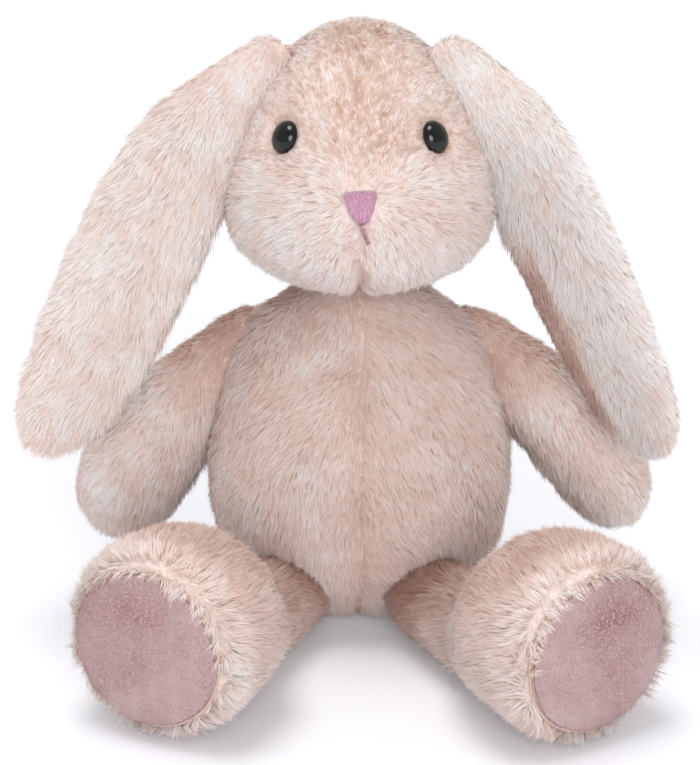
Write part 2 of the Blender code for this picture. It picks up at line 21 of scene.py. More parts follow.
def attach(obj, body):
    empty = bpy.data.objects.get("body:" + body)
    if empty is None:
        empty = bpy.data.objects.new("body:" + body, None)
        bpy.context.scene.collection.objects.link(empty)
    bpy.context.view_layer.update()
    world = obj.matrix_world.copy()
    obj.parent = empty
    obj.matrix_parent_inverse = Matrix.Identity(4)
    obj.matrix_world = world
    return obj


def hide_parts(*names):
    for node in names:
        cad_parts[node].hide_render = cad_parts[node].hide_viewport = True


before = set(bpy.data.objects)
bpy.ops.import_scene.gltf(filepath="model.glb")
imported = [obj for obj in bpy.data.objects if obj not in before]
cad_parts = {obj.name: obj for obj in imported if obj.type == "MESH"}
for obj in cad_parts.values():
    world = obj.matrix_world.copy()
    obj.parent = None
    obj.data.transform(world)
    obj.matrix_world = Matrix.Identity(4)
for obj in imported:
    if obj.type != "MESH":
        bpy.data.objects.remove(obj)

MM = 0.001
BAKE_MAP = "OFBake"
MOST_STRANDS = 98_000  # in one piece, at two triangles each

# Places on the toy, in mm
LOWEST = 0.4  # where the floor presses the pile flat
HIDDEN_DEPTH = 3.0  # in a neighbour, from where roots are left out
NECK_HEIGHT = 110.0
FOOT_FRONT = 99.0  # from the hip, where the sole is sewn in
EYE_ACROSS, EYE_RISE = 27.6, 80.5  # from the neck's middle
NOSE_RISE = 61.0
TAIL_MIDDLE = (0.0, 55.0, 26.0)

# Shares of the plush's map: rose tones lie below its middle and peach tones above it
ROSE_END, PEACH_START = 0.478, 0.522
PALEST_ROSE = 0.46

log = logging.getLogger("plush_rabbit")

Section = tuple[float, float, float, float, float]
Oval = tuple[float, float, float, float]


class Side(Enum):
    """A side of the toy, as seen from the front."""

    LEFT = "left"
    RIGHT = "right"

    @property
    def sign(self) -> float:
        """-1 on the left and 1 on the right."""
        return -1.0 if self is Side.LEFT else 1.0


# ---------------------------------------------------------------------------
# Materials
# ---------------------------------------------------------------------------


def linear(colour: str) -> tuple[float, float, float, float]:
    """Turns an sRGB hex colour into the linear colour that a shader takes.

    Args:
        colour: six hex digits after a hash.

    Returns:
        Red, green, blue and an alpha of 1.
    """
    parts = [int(colour[i : i + 2], 16) / 255.0 for i in (1, 3, 5)]
    made = [c / 12.92 if c <= 0.04045 else ((c + 0.055) / 1.055) ** 2.4 for c in parts]
    return (*made, 1.0)


def add_node(
    material: bpy.types.Material | bpy.types.World,
    kind: str,
    settings: dict | None = None,
    **links: object,
) -> bpy.types.Node:
    """Adds a shader node, sets it up and links sockets into it.

    Args:
        material: the material or world whose tree gets the node.
        kind: the node's Blender type.
        settings: attributes by name, and input values by socket name or number.
        links: an output socket for each input, by its name with _ for a space.

    Returns:
        The new node.
    """
    tree = material.node_tree
    made = tree.nodes.new(kind)
    for name, value in (settings or {}).items():
        if isinstance(name, str) and hasattr(made, name):
            setattr(made, name, value)
        else:
            made.inputs[name].default_value = value
    for name, socket in links.items():
        key = int(name[2:]) if name.startswith("in") and name[2:].isdigit() else None
        target = made.inputs[key if key is not None else name.replace("_", " ")]
        tree.links.new(socket, target)
    return made


def colour_ramp(
    material: bpy.types.Material, factor: bpy.types.NodeSocket, stops: Sequence[tuple[float, str]]
) -> bpy.types.NodeSocket:
    """Adds a colour ramp over a factor.

    Args:
        material: the material that gets the ramp.
        factor: the socket that drives it.
        stops: places from 0 to 1 with their hex colours, in order.

    Returns:
        The ramp's colour socket.
    """
    made = add_node(material, "ShaderNodeValToRGB", Fac=factor)
    ramp = made.color_ramp
    while len(ramp.elements) > 1:
        ramp.elements.remove(ramp.elements[-1])
    ramp.elements[0].position, ramp.elements[0].color = stops[0][0], linear(stops[0][1])
    for place, colour in stops[1:]:
        ramp.elements.new(place).color = linear(colour)
    return made.outputs["Color"]


def blank(name: str, **sockets: object) -> tuple[bpy.types.Material, bpy.types.Node]:
    """Makes a material with one Principled shader.

    Args:
        name: the material's name.
        sockets: shader inputs by name with _ for a space.

    Returns:
        The material and its shader.
    """
    material = bpy.data.materials.new(name)
    material.use_nodes = True
    shader = material.node_tree.nodes["Principled BSDF"]
    for key, value in sockets.items():
        shader.inputs[key.replace("_", " ")].default_value = value
    return material, shader


@dataclass(frozen=True)
class Grain:
    """The fine unevenness of a surface: noise over the object, in two tones, and its relief."""

    features: float  # in a metre
    tones: tuple[tuple[float, str], ...]
    stretch: tuple[float, float, float] = (1.0, 1.0, 1.0)
    strength: float = 0.0
    height: float = 0.0  # in metres

    def dress(self, material: bpy.types.Material, shader: bpy.types.Node) -> None:
        """Gives a shader its tones and, where it has one, its relief.

        Args:
            material: the shader's material.
            shader: the shader.
        """
        where = add_node(material, "ShaderNodeTexCoord")
        mapped = add_node(
            material, "ShaderNodeMapping", {"Scale": self.stretch}, Vector=where.outputs["Object"]
        )
        noise = add_node(
            material,
            "ShaderNodeTexNoise",
            {"Scale": self.features},
            Vector=mapped.outputs["Vector"],
        )
        links = material.node_tree.links
        tone = colour_ramp(material, noise.outputs["Fac"], self.tones)
        links.new(tone, shader.inputs["Base Color"])
        if self.strength:
            relief = {"Strength": self.strength, "Distance": self.height}
            bump = add_node(material, "ShaderNodeBump", relief, Height=noise.outputs["Fac"])
            links.new(bump.outputs["Normal"], shader.inputs["Normal"])


@dataclass(frozen=True)
class PileFibre:
    """Fine polyester pile, extruded and brushed: soft, with a faint sheen along each fibre.

    The strands' map holds the tone across (0 to 1) and the place from root to tip up it.
    """

    name: str
    tones: tuple[tuple[float, str], ...]
    root: str = "#F1E3DC"
    middle: str = "#FDFAF8"
    roughness: float = 0.8
    clearness: float = 0.33

    def colour(self, material: bpy.types.Material) -> bpy.types.NodeSocket:
        """Adds the strands' tone, darker towards the root, which less light reaches.

        Args:
            material: the material that gets it.

        Returns:
            The tone's socket.
        """
        where = add_node(material, "ShaderNodeUVMap", {"uv_map": BAKE_MAP})
        split = add_node(material, "ShaderNodeSeparateXYZ", Vector=where.outputs["UV"])
        depths = ((0.0, self.root), (0.45, self.middle), (0.8, "#FFFFFF"))
        tone = colour_ramp(material, split.outputs["X"], self.tones)
        depth = colour_ramp(material, split.outputs["Y"], depths)
        settings = {"data_type": "RGBA", "blend_type": "MULTIPLY", 0: 1.0}
        mixed = add_node(material, "ShaderNodeMix", settings, in6=tone, in7=depth)
        return mixed.outputs[2]

    def make(self) -> bpy.types.Material:
        """Builds the material, whose thin fibres pass on a part of the light.

        Returns:
            The material.
        """
        material, shader = blank(
            self.name, Roughness=self.roughness, Specular_IOR_Level=0.12, Sheen_Weight=0.2
        )
        shader.inputs["Sheen Roughness"].default_value = 0.5
        colour = self.colour(material)
        through = add_node(material, "ShaderNodeBsdfTranslucent", Color=colour)
        both = add_node(
            material,
            "ShaderNodeMixShader",
            {0: self.clearness},
            in1=shader.outputs["BSDF"],
            in2=through.outputs["BSDF"],
        )
        tree = material.node_tree
        tree.links.new(colour, shader.inputs["Base Color"])
        tree.links.new(both.outputs[0], tree.nodes["Material Output"].inputs["Surface"])
        return material


@dataclass(frozen=True)
class BackingCloth:
    """Knitted polyester backing that the pile stands on, seen only between the fibres."""

    name: str
    low: str
    high: str
    stitches: float = 1400.0  # a metre, so about 0.7 mm apart

    def make(self) -> bpy.types.Material:
        """Builds the material.

        Returns:
            The material.
        """
        material, shader = blank(self.name, Roughness=0.95, Specular_IOR_Level=0.1)
        tones = ((0.35, self.low), (0.65, self.high))
        Grain(self.stitches, tones, strength=0.4, height=0.0003).dress(material, shader)
        return material


@dataclass(frozen=True)
class SatinThread:
    """Trilobal polyester embroidery thread: bright along each strand, with a silky gloss."""

    name: str
    low: str
    high: str
    filaments: float = 2600.0  # noise features a metre, for filaments of about 0.15 mm

    def make(self) -> bpy.types.Material:
        """Builds the material.

        Returns:
            The material.
        """
        material, shader = blank(
            self.name, Roughness=0.38, Specular_IOR_Level=0.5, Sheen_Weight=0.2
        )
        tones = ((0.35, self.low), (0.65, self.high))
        silk = Grain(self.filaments, tones, (1.0, 1.0, 0.12), strength=0.2, height=0.0001)
        silk.dress(material, shader)
        return material


@dataclass(frozen=True)
class Moulded:
    """Injection moulded plastic, with the faint unevenness of its mould."""

    name: str
    colour: str
    roughness: float
    swirls: float = 260.0  # a metre

    def make(self) -> bpy.types.Material:
        """Builds the material.

        Returns:
            The material.
        """
        material, shader = blank(self.name, Roughness=self.roughness, IOR=1.49)
        tones = ((0.3, self.colour), (0.8, self.paler()))
        Grain(self.swirls, tones).dress(material, shader)
        return material

    def paler(self) -> str:
        """The colour, a little lighter."""
        parts = [min(255, int(self.colour[i : i + 2], 16) + 6) for i in (1, 3, 5)]
        return "#" + "".join(f"{part:02X}" for part in parts)


PLUSH = PileFibre(
    "polyester_plush_pile",
    (
        (0.00, "#C49C8F"),
        (0.12, "#E2C5BA"),
        (0.24, "#F3DED5"),
        (0.36, "#FBEEE8"),
        (0.48, "#FFFFFF"),
        (0.52, "#B5896F"),
        (0.64, "#D2AF9B"),
        (0.76, "#E7D0C3"),
        (0.88, "#F2E3DA"),
        (1.00, "#FFFCFA"),
    ),
)
LINING = PileFibre(
    "short_lining_pile",
    ((0.0, "#C79A92"), (0.3, "#DDB6AE"), (0.6, "#EBCDC6"), (1.0, "#F8E8E4")),
    root="#E6CBC4",
)
VELOUR = PileFibre(
    "sole_velour_pile",
    ((0.0, "#A97A7B"), (0.3, "#BF9E9F"), (0.6, "#D2BEBE"), (1.0, "#EADFDF")),
    root="#F0E4E4",
)
BACKING = BackingCloth("knitted_backing", "#E2D0C9", "#F2E6E1")
SOLE_BACKING = BackingCloth("velour_backing", "#B79596", "#C9AEAE")
# Painted shade: a darker cloth for the ring in the shaded gap round each sole.
GAP_SHADE = BackingCloth("seam_tuck", "#BF9C90", "#D8BDB2")
NOSE_THREAD = SatinThread("mauve_satin_thread", "#A0728C", "#CC9CB2")
MOUTH_THREAD = SatinThread("mouth_thread", "#93656A", "#BE8E93")
# Painted shade: a darker satin for the pad that shows in the grooves between the nose's stitches.
GROOVE_SHADE_THREAD = SatinThread("nose_groove_shade", "#7F566C", "#9C7087")
EYE = Moulded("black_acrylic", "#060505", 0.09)
WASHER = Moulded("white_polypropylene", "#E2E1DC", 0.45)


# ---------------------------------------------------------------------------
# Forms and skins
# ---------------------------------------------------------------------------


def drift(points: np.ndarray, size: float, seed: int) -> np.ndarray:
    """A smooth wandering value over space, from about -1 to 1.

    Args:
        points: places in mm, one a row.
        size: how far apart, in mm, its swells are.
        seed: picks one of many such fields.

    Returns:
        A value for each point.
    """
    rng = np.random.default_rng(seed)
    total = np.zeros(len(points))
    for _ in range(6):
        wave = rng.normal(size=3)
        wave *= 2.0 * math.pi / size / np.linalg.norm(wave) * rng.uniform(0.6, 1.7)
        total += np.sin(points @ wave + rng.uniform(0.0, 2.0 * math.pi))
    return total / 2.8


def unit(vectors: np.ndarray) -> np.ndarray:
    """Rows of vectors, each made one long."""
    return vectors / np.maximum(np.linalg.norm(vectors, axis=1, keepdims=True), 1e-9)


def rise(values: np.ndarray, low: float, high: float) -> np.ndarray:
    """A smooth step from 0 at low to 1 at high."""
    share = np.clip((values - low) / (high - low), 0.0, 1.0)
    return share * share * (3.0 - 2.0 * share)


def limb_frame(pivot: Vector, direction: Vector, up: Vector) -> Matrix:
    """A frame whose Z runs along a limb and whose Y is as near up as it can be.

    Args:
        pivot: the frame's origin.
        direction: the limb's direction.
        up: roughly where Y points.

    Returns:
        The frame as a matrix, in mm.
    """
    z_axis = direction.normalized()
    x_axis = up.cross(z_axis).normalized()
    y_axis = z_axis.cross(x_axis)
    turned = Matrix((x_axis, y_axis, z_axis)).transposed().to_4x4()
    return Matrix.Translation(pivot) @ turned


def finished(name: str, bm: bmesh.types.BMesh, *materials: bpy.types.Material) -> bpy.types.Object:
    """Makes an object at the origin from a bmesh in mm.

    Args:
        name: the piece's name.
        bm: its mesh, which is freed.
        materials: its material slots.

    Returns:
        The object, smooth and in the scene.
    """
    bmesh.ops.scale(bm, vec=(MM, MM, MM), verts=bm.verts)
    mesh = bpy.data.meshes.new(name)
    bm.to_mesh(mesh)
    bm.free()
    mesh.shade_smooth()
    for material in materials:
        mesh.materials.append(material)
    made = bpy.data.objects.new(name, mesh)
    bpy.context.scene.collection.objects.link(made)
    return made


def loft(bm: bmesh.types.BMesh, rings: Sequence[list[bmesh.types.BMVert]]) -> None:
    """Joins rings of a bmesh into a closed tube.

    Args:
        bm: the mesh that holds the rings.
        rings: each ring's points, from one end to the other.
    """
    for lower, upper in zip(rings, rings[1:]):
        both = set(lower) | set(upper)
        edges = {
            edge
            for vert in both
            for edge in vert.link_edges
            if edge.other_vert(vert) in both and len(edge.link_faces) < 2
        }
        bmesh.ops.bridge_loops(bm, edges=list(edges))
    for ring in (rings[0], rings[-1]):
        bmesh.ops.contextual_create(bm, geom=ring)


@dataclass
class Form:
    """A stuffed shape lofted through ovals: along, half width, half depth, shift X and Y, in mm."""

    sections: Sequence[Section]
    place: Matrix = field(default_factory=lambda: Matrix.Identity(4))
    sides: int = 8
    roll: float = 0.0
    roll_start: float = 6.0  # along the form, in mm
    roll_reach: float = 42.0
    bulge: tuple[Vector, float, float] | None = None
    flat_front: float | None = None

    def rolled(self, bm: bmesh.types.BMesh) -> None:
        """Rolls the cage about its length, from nothing at its root, as the ear's is.

        Args:
            bm: the form's cage.
        """
        for vert in bm.verts:
            share = min(max((vert.co.z - self.roll_start) / self.roll_reach, 0.0), 1.0)
            vert.co.rotate(Matrix.Rotation(self.roll * share, 4, "Z"))

    def cage(self, grow: float) -> bmesh.types.BMesh:
        """The coarse cage, moved outwards by grow.

        Args:
            grow: how far, in mm; negative moves it inwards.

        Returns:
            A closed bmesh in the form's own frame.
        """
        bm = bmesh.new()
        start, end = self.sections[0][0], self.sections[-1][0]
        stretch = (end - start + 2.0 * grow) / (end - start)
        rings = []
        for along, wide, deep, shift_x, shift_y in self.sections:
            made = bmesh.ops.create_circle(bm, segments=self.sides, radius=1.0)["verts"]
            size = (max(wide + grow, 1.0), max(deep + grow, 1.0), 1.0)
            bmesh.ops.scale(bm, vec=size, verts=made)
            height = start - grow + (along - start) * stretch
            bmesh.ops.translate(bm, vec=(shift_x, shift_y, height), verts=made)
            rings.append(made)
        loft(bm, rings)
        if self.roll:
            self.rolled(bm)
        if self.bulge:
            at, reach, out = self.bulge
            for vert in bm.verts:
                far = (vert.co - at).length / reach
                vert.co.y -= out * math.exp(-far * far)
        return bm

    def skin(self, name: str, grow: float, levels: int = 3) -> bpy.types.Object:
        """The form's smooth surface, in place.

        Args:
            name: the object's name.
            grow: how far it lies outside the form, in mm.
            levels: how many times the cage is subdivided.

        Returns:
            An object at the origin.
        """
        cage = finished(f"{name}_cage", self.cage(grow))
        rounding = cage.modifiers.new("rounding", "SUBSURF")
        rounding.levels = rounding.render_levels = levels
        bpy.context.view_layer.update()
        graph = bpy.context.evaluated_depsgraph_get()
        mesh = bpy.data.meshes.new_from_object(cage.evaluated_get(graph))
        bpy.data.objects.remove(cage)
        bm = bmesh.new()
        bm.from_mesh(mesh)
        bpy.data.meshes.remove(mesh)
        bmesh.ops.scale(bm, vec=(1.0 / MM, 1.0 / MM, 1.0 / MM), verts=bm.verts)
        if self.flat_front is not None:
            for vert in bm.verts:
                vert.co.z = min(vert.co.z, self.flat_front)
        bmesh.ops.transform(bm, matrix=self.place, verts=bm.verts)
        bmesh.ops.recalc_face_normals(bm, faces=bm.faces)
        return finished(name, bm)

    def local(self, points: np.ndarray) -> np.ndarray:
        """Points in mm, moved into the form's own frame and unrolled.

        Args:
            points: places in mm.

        Returns:
            The places in the form's own frame.
        """
        inverse = np.array(self.place.inverted())
        own = points @ inverse[:3, :3].T + inverse[:3, 3]
        if self.roll:
            share = np.clip((own[:, 2] - self.roll_start) / self.roll_reach, 0.0, 1.0)
            turn = -self.roll * share
            cos, sin = np.cos(turn), np.sin(turn)
            x, y = own[:, 0].copy(), own[:, 1].copy()
            own[:, 0] = x * cos - y * sin
            own[:, 1] = x * sin + y * cos
        return own

    def inside(self, points: np.ndarray, margin: float = 0.0) -> np.ndarray:
        """Which points lie inside the form, or within a margin outside it.

        Args:
            points: places in mm.
            margin: how far outside still counts, in mm.

        Returns:
            True for each point that does.
        """
        own = self.local(points)
        table = np.array(self.sections)
        # Subdivision draws a coarse ring in, and more so the fewer sides it has.
        shrink = {8: 0.91, 10: 0.94}.get(self.sides, 0.92)
        cut = [np.interp(own[:, 2], table[:, 0], table[:, i]) for i in range(1, 5)]
        wide = np.maximum(cut[0] * shrink + margin, 0.5)
        deep = np.maximum(cut[1] * shrink + margin, 0.5)
        oval = ((own[:, 0] - cut[2]) / wide) ** 2 + ((own[:, 1] - cut[3]) / deep) ** 2
        within = (own[:, 2] > table[0, 0] - margin) & (own[:, 2] < table[-1, 0] + margin)
        return within & (oval < 1.0)

    def along(self) -> np.ndarray:
        """The form's own Z, as a direction in space."""
        return np.array(self.place.col[2][:3])


# ---------------------------------------------------------------------------
# Pile
# ---------------------------------------------------------------------------


@dataclass
class Roots:
    """Where clumps of pile stand: places and normals in mm, one a row."""

    points: np.ndarray
    normals: np.ndarray

    def kept(self, which: np.ndarray) -> "Roots":
        """The roots that a mask keeps."""
        return Roots(self.points[which], self.normals[which])


@dataclass
class Combing:
    """How the pile lies at each root: direction, share of full length, lift and tone."""

    flow: np.ndarray
    length: np.ndarray
    tone: np.ndarray
    lift: np.ndarray


@dataclass(frozen=True)
class Coat:
    """One cut of pile. Lengths are in mm, and densities in strands per square mm."""

    density: float = 6.2
    length: float = 7.0
    width: float = 0.28
    lift: float = 27.0
    clump: int = 6
    spread: float = 0.9
    pull: float = 0.2
    jitter: float = 0.12
    tone_jitter: float = 0.02


BODY_COAT = Coat()
HEAD_COAT = Coat(length=6.5, density=6.7)
TAIL_COAT = Coat(length=9.0, lift=38.0, density=5.0)
EAR_COAT = Coat(length=8.0, lift=24.0, clump=4, jitter=0.10)
LINING_COAT = Coat(length=3.2, density=5.0, spread=0.7)
SOLE_COAT = Coat(
    density=10.0,
    length=1.1,
    width=0.2,
    lift=30.0,
    clump=1,
    spread=0.5,
    pull=0.0,
    tone_jitter=0.012,
)


class Clumps(NamedTuple):
    """Clumps of pile, one a row: their roots and tips in mm, how they lie and their tone."""

    points: np.ndarray
    normals: np.ndarray
    flow: np.ndarray
    tips: np.ndarray
    length: np.ndarray
    lift: np.ndarray
    tone: np.ndarray
    peach: np.ndarray

    def fanned(self, count: int) -> "Clumps":
        """The clumps, with each row repeated for its strands."""
        return Clumps(*(np.repeat(row, count, axis=0) for row in self))


class Blades(NamedTuple):
    """Strands, one a row: their points in mm, half their width, where they face and their tone."""

    base: np.ndarray
    middle: np.ndarray
    tip: np.ndarray
    across: np.ndarray
    facing: np.ndarray
    tone: np.ndarray

    def part(self, which: np.ndarray) -> "Blades":
        """The strands of the given rows."""
        return Blades(*(row[which] for row in self))


def scatter(skin: bpy.types.Object, per_mm2: float, rng: np.random.Generator) -> Roots:
    """Picks points evenly over a skin.

    Args:
        skin: the surface.
        per_mm2: how many points a square mm gets.
        rng: the source of chance.

    Returns:
        The points and their smooth normals.
    """
    mesh = skin.data
    mesh.calc_loop_triangles()
    verts = np.empty(len(mesh.vertices) * 3, np.float32)
    mesh.vertices.foreach_get("co", verts)
    verts = verts.reshape(-1, 3).astype(float) / MM
    normals = np.empty(len(mesh.vertices) * 3, np.float32)
    mesh.vertices.foreach_get("normal", normals)
    normals = normals.reshape(-1, 3).astype(float)
    tris = np.empty(len(mesh.loop_triangles) * 3, np.int32)
    mesh.loop_triangles.foreach_get("vertices", tris)
    tris = tris.reshape(-1, 3)
    a, b, c = (verts[tris[:, i]] for i in range(3))
    area = np.linalg.norm(np.cross(b - a, c - a), axis=1) / 2.0
    count = int(area.sum() * per_mm2)
    # Even steps through the summed area leave no thin places.
    steps = (np.arange(count) + rng.random(count)) / count
    pick = np.searchsorted(np.cumsum(area) / area.sum(), steps).clip(max=len(tris) - 1)
    u, v = rng.random(count), rng.random(count)
    over = u + v > 1.0
    u[over], v[over] = 1.0 - u[over], 1.0 - v[over]
    share = np.stack([1.0 - u - v, u, v], axis=1)[:, :, None]
    points = (verts[tris[pick]] * share).sum(axis=1)
    return Roots(points, unit((normals[tris[pick]] * share).sum(axis=1)))


def strand_pattern() -> tuple[np.ndarray, list[list[int]]]:
    """The faces of one strand: a blade that is widest half way and pointed at both ends.

    Returns:
        The strand's points as (across, along) pairs and its faces as lists of point numbers.
    """
    bm = bmesh.new()
    bmesh.ops.create_circle(bm, segments=4, radius=1.0, cap_ends=True)
    waist = [vert for vert in bm.verts if abs(vert.co.y) < 0.5]
    bmesh.ops.connect_vert_pair(bm, verts=waist)
    bm.verts.sort(key=lambda vert: 10.0 * vert.co.y + vert.co.x)
    bm.verts.index_update()
    bm.normal_update()
    for face in bm.faces:
        if face.normal.z > 0.0:
            face.normal_flip()
    places = np.array([(round(vert.co.x), (round(vert.co.y) + 1) / 2.0) for vert in bm.verts])
    faces = [[vert.index for vert in face.verts] for face in bm.faces]
    bm.free()
    return places, faces


def fill_faces(mesh: bpy.types.Mesh, count: int, corners: int, faces: list[list[int]]) -> None:
    """Gives a mesh of strands its faces.

    Args:
        mesh: the mesh, which has its points.
        count: how many strands it holds.
        corners: how many points a strand has.
        faces: one strand's faces.
    """
    loop_of = np.array([corner for face in faces for corner in face])
    loops = ((np.arange(count) * corners)[:, None] + loop_of).astype(np.int32).ravel()
    mesh.loops.add(len(loops))
    mesh.loops.foreach_set("vertex_index", loops)
    mesh.polygons.add(count * len(faces))
    starts = np.concatenate([[0], np.cumsum([len(face) for face in faces])[:-1]])
    all_starts = (np.arange(count) * len(loop_of))[:, None] + starts
    mesh.polygons.foreach_set("loop_start", all_starts.astype(np.int32).ravel())


def strands(name: str, blades: Blades, material: bpy.types.Material) -> bpy.types.Object:
    """Makes one piece from many strands.

    Args:
        name: the piece's name.
        blades: the strands.
        material: the pile's material.

    Returns:
        The object.
    """
    places, faces = strand_pattern()
    count, corners = len(blades.base), len(places)
    spine = {0.0: blades.base, 0.5: blades.middle, 1.0: blades.tip}
    verts = np.empty((count, corners, 3), np.float32)
    uvs = np.empty((count, corners, 2), np.float32)
    for index, (side, along) in enumerate(places):
        step = round(float(along), 1)
        verts[:, index] = (spine[step] + blades.across * side) * MM
        uvs[:, index, 0] = np.clip(blades.tone + side * 0.004, 0.001, 0.999)
        uvs[:, index, 1] = 0.01 + 0.98 * step
    mesh = bpy.data.meshes.new(name)
    mesh.vertices.add(count * corners)
    mesh.vertices.foreach_set("co", verts.ravel())
    fill_faces(mesh, count, corners, faces)
    layer = mesh.uv_layers.new(name=BAKE_MAP)
    loop_of = [corner for face in faces for corner in face]
    layer.data.foreach_set("uv", uvs[:, loop_of].ravel())
    mesh.update(calc_edges=True)
    mesh.shade_smooth()
    mesh.normals_split_custom_set_from_vertices(np.repeat(blades.facing, corners, axis=0))
    mesh.materials.append(material)
    made = bpy.data.objects.new(name, mesh)
    bpy.context.scene.collection.objects.link(made)
    return made


def draw_clumps(roots: Roots, combed: Combing, coat: Coat, rng: np.random.Generator) -> Clumps:
    """Sets out the clumps, each a little different from how the pile is combed.

    Args:
        roots: where they stand.
        combed: how the pile lies there.
        coat: the cut of the pile.
        rng: the source of chance.

    Returns:
        The clumps.
    """
    normals = roots.normals
    flow = combed.flow + rng.normal(scale=coat.jitter, size=combed.flow.shape)
    flow = unit(flow - normals * (flow * normals).sum(axis=1, keepdims=True))
    tone = combed.tone + rng.normal(scale=coat.tone_jitter, size=len(combed.tone))
    length = coat.length * combed.length * rng.uniform(0.8, 1.15, len(combed.length))
    length = length[:, None]
    lift = np.radians(coat.lift * combed.lift)[:, None]
    lift = lift * rng.uniform(0.7, 1.3, lift.shape)
    tips = roots.points + (flow * np.cos(lift) + normals * np.sin(lift)) * length
    return Clumps(roots.points, normals, flow, tips, length, lift, tone, combed.tone > 0.5)


def draw_blades(clumps: Clumps, coat: Coat, rng: np.random.Generator) -> Blades:
    """Sets out the strands of clumps, whose tips draw together.

    Args:
        clumps: the clumps, with a row for each strand.
        coat: the cut of the pile.
        rng: the source of chance.

    Returns:
        The strands.
    """
    count, normals, flow = len(clumps.points), clumps.normals, clumps.flow
    side = np.cross(normals, flow)
    spin = rng.uniform(0.0, 2.0 * math.pi, count)
    far = coat.spread * np.sqrt(rng.random(count))
    offset = flow * (far * np.cos(spin))[:, None] + side * (far * np.sin(spin))[:, None]
    base = clumps.points + offset - normals * 0.25
    length = clumps.length * rng.uniform(0.72, 1.08, (count, 1))
    lift = clumps.lift * rng.uniform(0.75, 1.3, (count, 1))
    heading = unit(flow + side * rng.normal(scale=coat.jitter, size=(count, 1)))
    own_tip = base + (heading * np.cos(lift) + normals * np.sin(lift)) * length
    pull = coat.pull * rng.uniform(0.5, 1.3, (count, 1))
    tip = own_tip + (clumps.tips - own_tip) * np.clip(pull, 0.0, 0.95)
    middle = (base + tip) / 2.0 + normals * length * 0.10
    for points in (base, middle, tip):
        np.maximum(points[:, 2], LOWEST, out=points[:, 2])
    turn = rng.uniform(-0.8, 0.8, (count, 1))
    along = unit(tip - base)
    flat = unit(np.cross(normals, along))
    outward = np.cross(along, flat)
    across = flat * np.cos(turn) + outward * np.sin(turn)
    across *= coat.width / 2.0 * rng.uniform(0.7, 1.25, (count, 1))
    # Light takes a blade mostly as the skin below it, which keeps the coat even.
    own_facing = outward * np.cos(turn) - flat * np.sin(turn)
    facing = unit(normals * 0.75 + own_facing * 0.25)
    tone = clumps.tone + rng.normal(scale=coat.tone_jitter * 0.7, size=count)
    return Blades(base, middle, tip, across, facing, tone)


Comber = Callable[[Roots], tuple[Roots, Combing]]


def grow_pile(
    name: str,
    skin: bpy.types.Object,
    coat: Coat,
    comb: Comber,
    material: bpy.types.Material,
    seed: int,
) -> list[bpy.types.Object]:
    """Grows a coat of pile on a skin.

    Args:
        name: the pieces' name, which gets a number.
        skin: the cloth that the pile stands on.
        coat: the cut of the pile.
        comb: picks the roots that stay and says how the pile lies at each.
        material: the pile's material.
        seed: makes the pile the same each time.

    Returns:
        The pieces, none of more than MOST_STRANDS strands. The pieces, each small
        enough to be kept whole.
    """
    rng = np.random.default_rng(seed)
    roots, combed = comb(scatter(skin, coat.density / coat.clump, rng))
    clumps = draw_clumps(roots, combed, coat, rng).fanned(coat.clump)
    blades = draw_blades(clumps, coat, rng)
    low, high = 0.0, 1.0
    if material.name == PLUSH.name:
        low = np.where(clumps.peach, PEACH_START, 0.0)
        high = np.where(clumps.peach, 1.0, ROSE_END)
    blades = blades._replace(tone=np.clip(blades.tone, low, high))
    count = len(blades.base)
    order = np.argsort(blades.base[:, 1], kind="stable")
    parts = np.array_split(order, math.ceil(count / MOST_STRANDS))
    made = [
        strands(f"{name}_{number}", blades.part(part), material)
        for number, part in enumerate(parts, 1)
    ]
    log.info("%s: %d strands in %d pieces", name, count, len(made))
    return made


# ---------------------------------------------------------------------------
# The toy's pieces
# ---------------------------------------------------------------------------


@dataclass
class Materials:
    """The materials, each made once."""

    plush: bpy.types.Material = field(default_factory=PLUSH.make)
    lining: bpy.types.Material = field(default_factory=LINING.make)
    velour: bpy.types.Material = field(default_factory=VELOUR.make)
    backing: bpy.types.Material = field(default_factory=BACKING.make)
    sole_backing: bpy.types.Material = field(default_factory=SOLE_BACKING.make)
    # Painted shade for the gap round each sole.
    seam: bpy.types.Material = field(default_factory=GAP_SHADE.make)
    nose: bpy.types.Material = field(default_factory=NOSE_THREAD.make)
    # Painted shade for the grooves between the nose's stitches.
    pad: bpy.types.Material = field(default_factory=GROOVE_SHADE_THREAD.make)
    mouth: bpy.types.Material = field(default_factory=MOUTH_THREAD.make)
    eye: bpy.types.Material = field(default_factory=EYE.make)
    washer: bpy.types.Material = field(default_factory=WASHER.make)


def set_on(body: str, slot: str, *pieces: bpy.types.Object) -> None:
    """Sets pieces on their body.

    Args:
        body: the body's name.
        slot: the slot's name; not used.
        pieces: the pieces.
    """
    for piece in pieces:
        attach(piece, body)


def clothe(
    skin: bpy.types.Object, cloth: bpy.types.Material, nodes: Sequence[str]
) -> None:
    """Gives a stuffed skin its cloth, and hides the solids it stands for.

    Args:
        skin: the skin.
        cloth: its material.
        nodes: the solids' names.
    """
    skin.data.materials.append(cloth)
    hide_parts(*nodes)


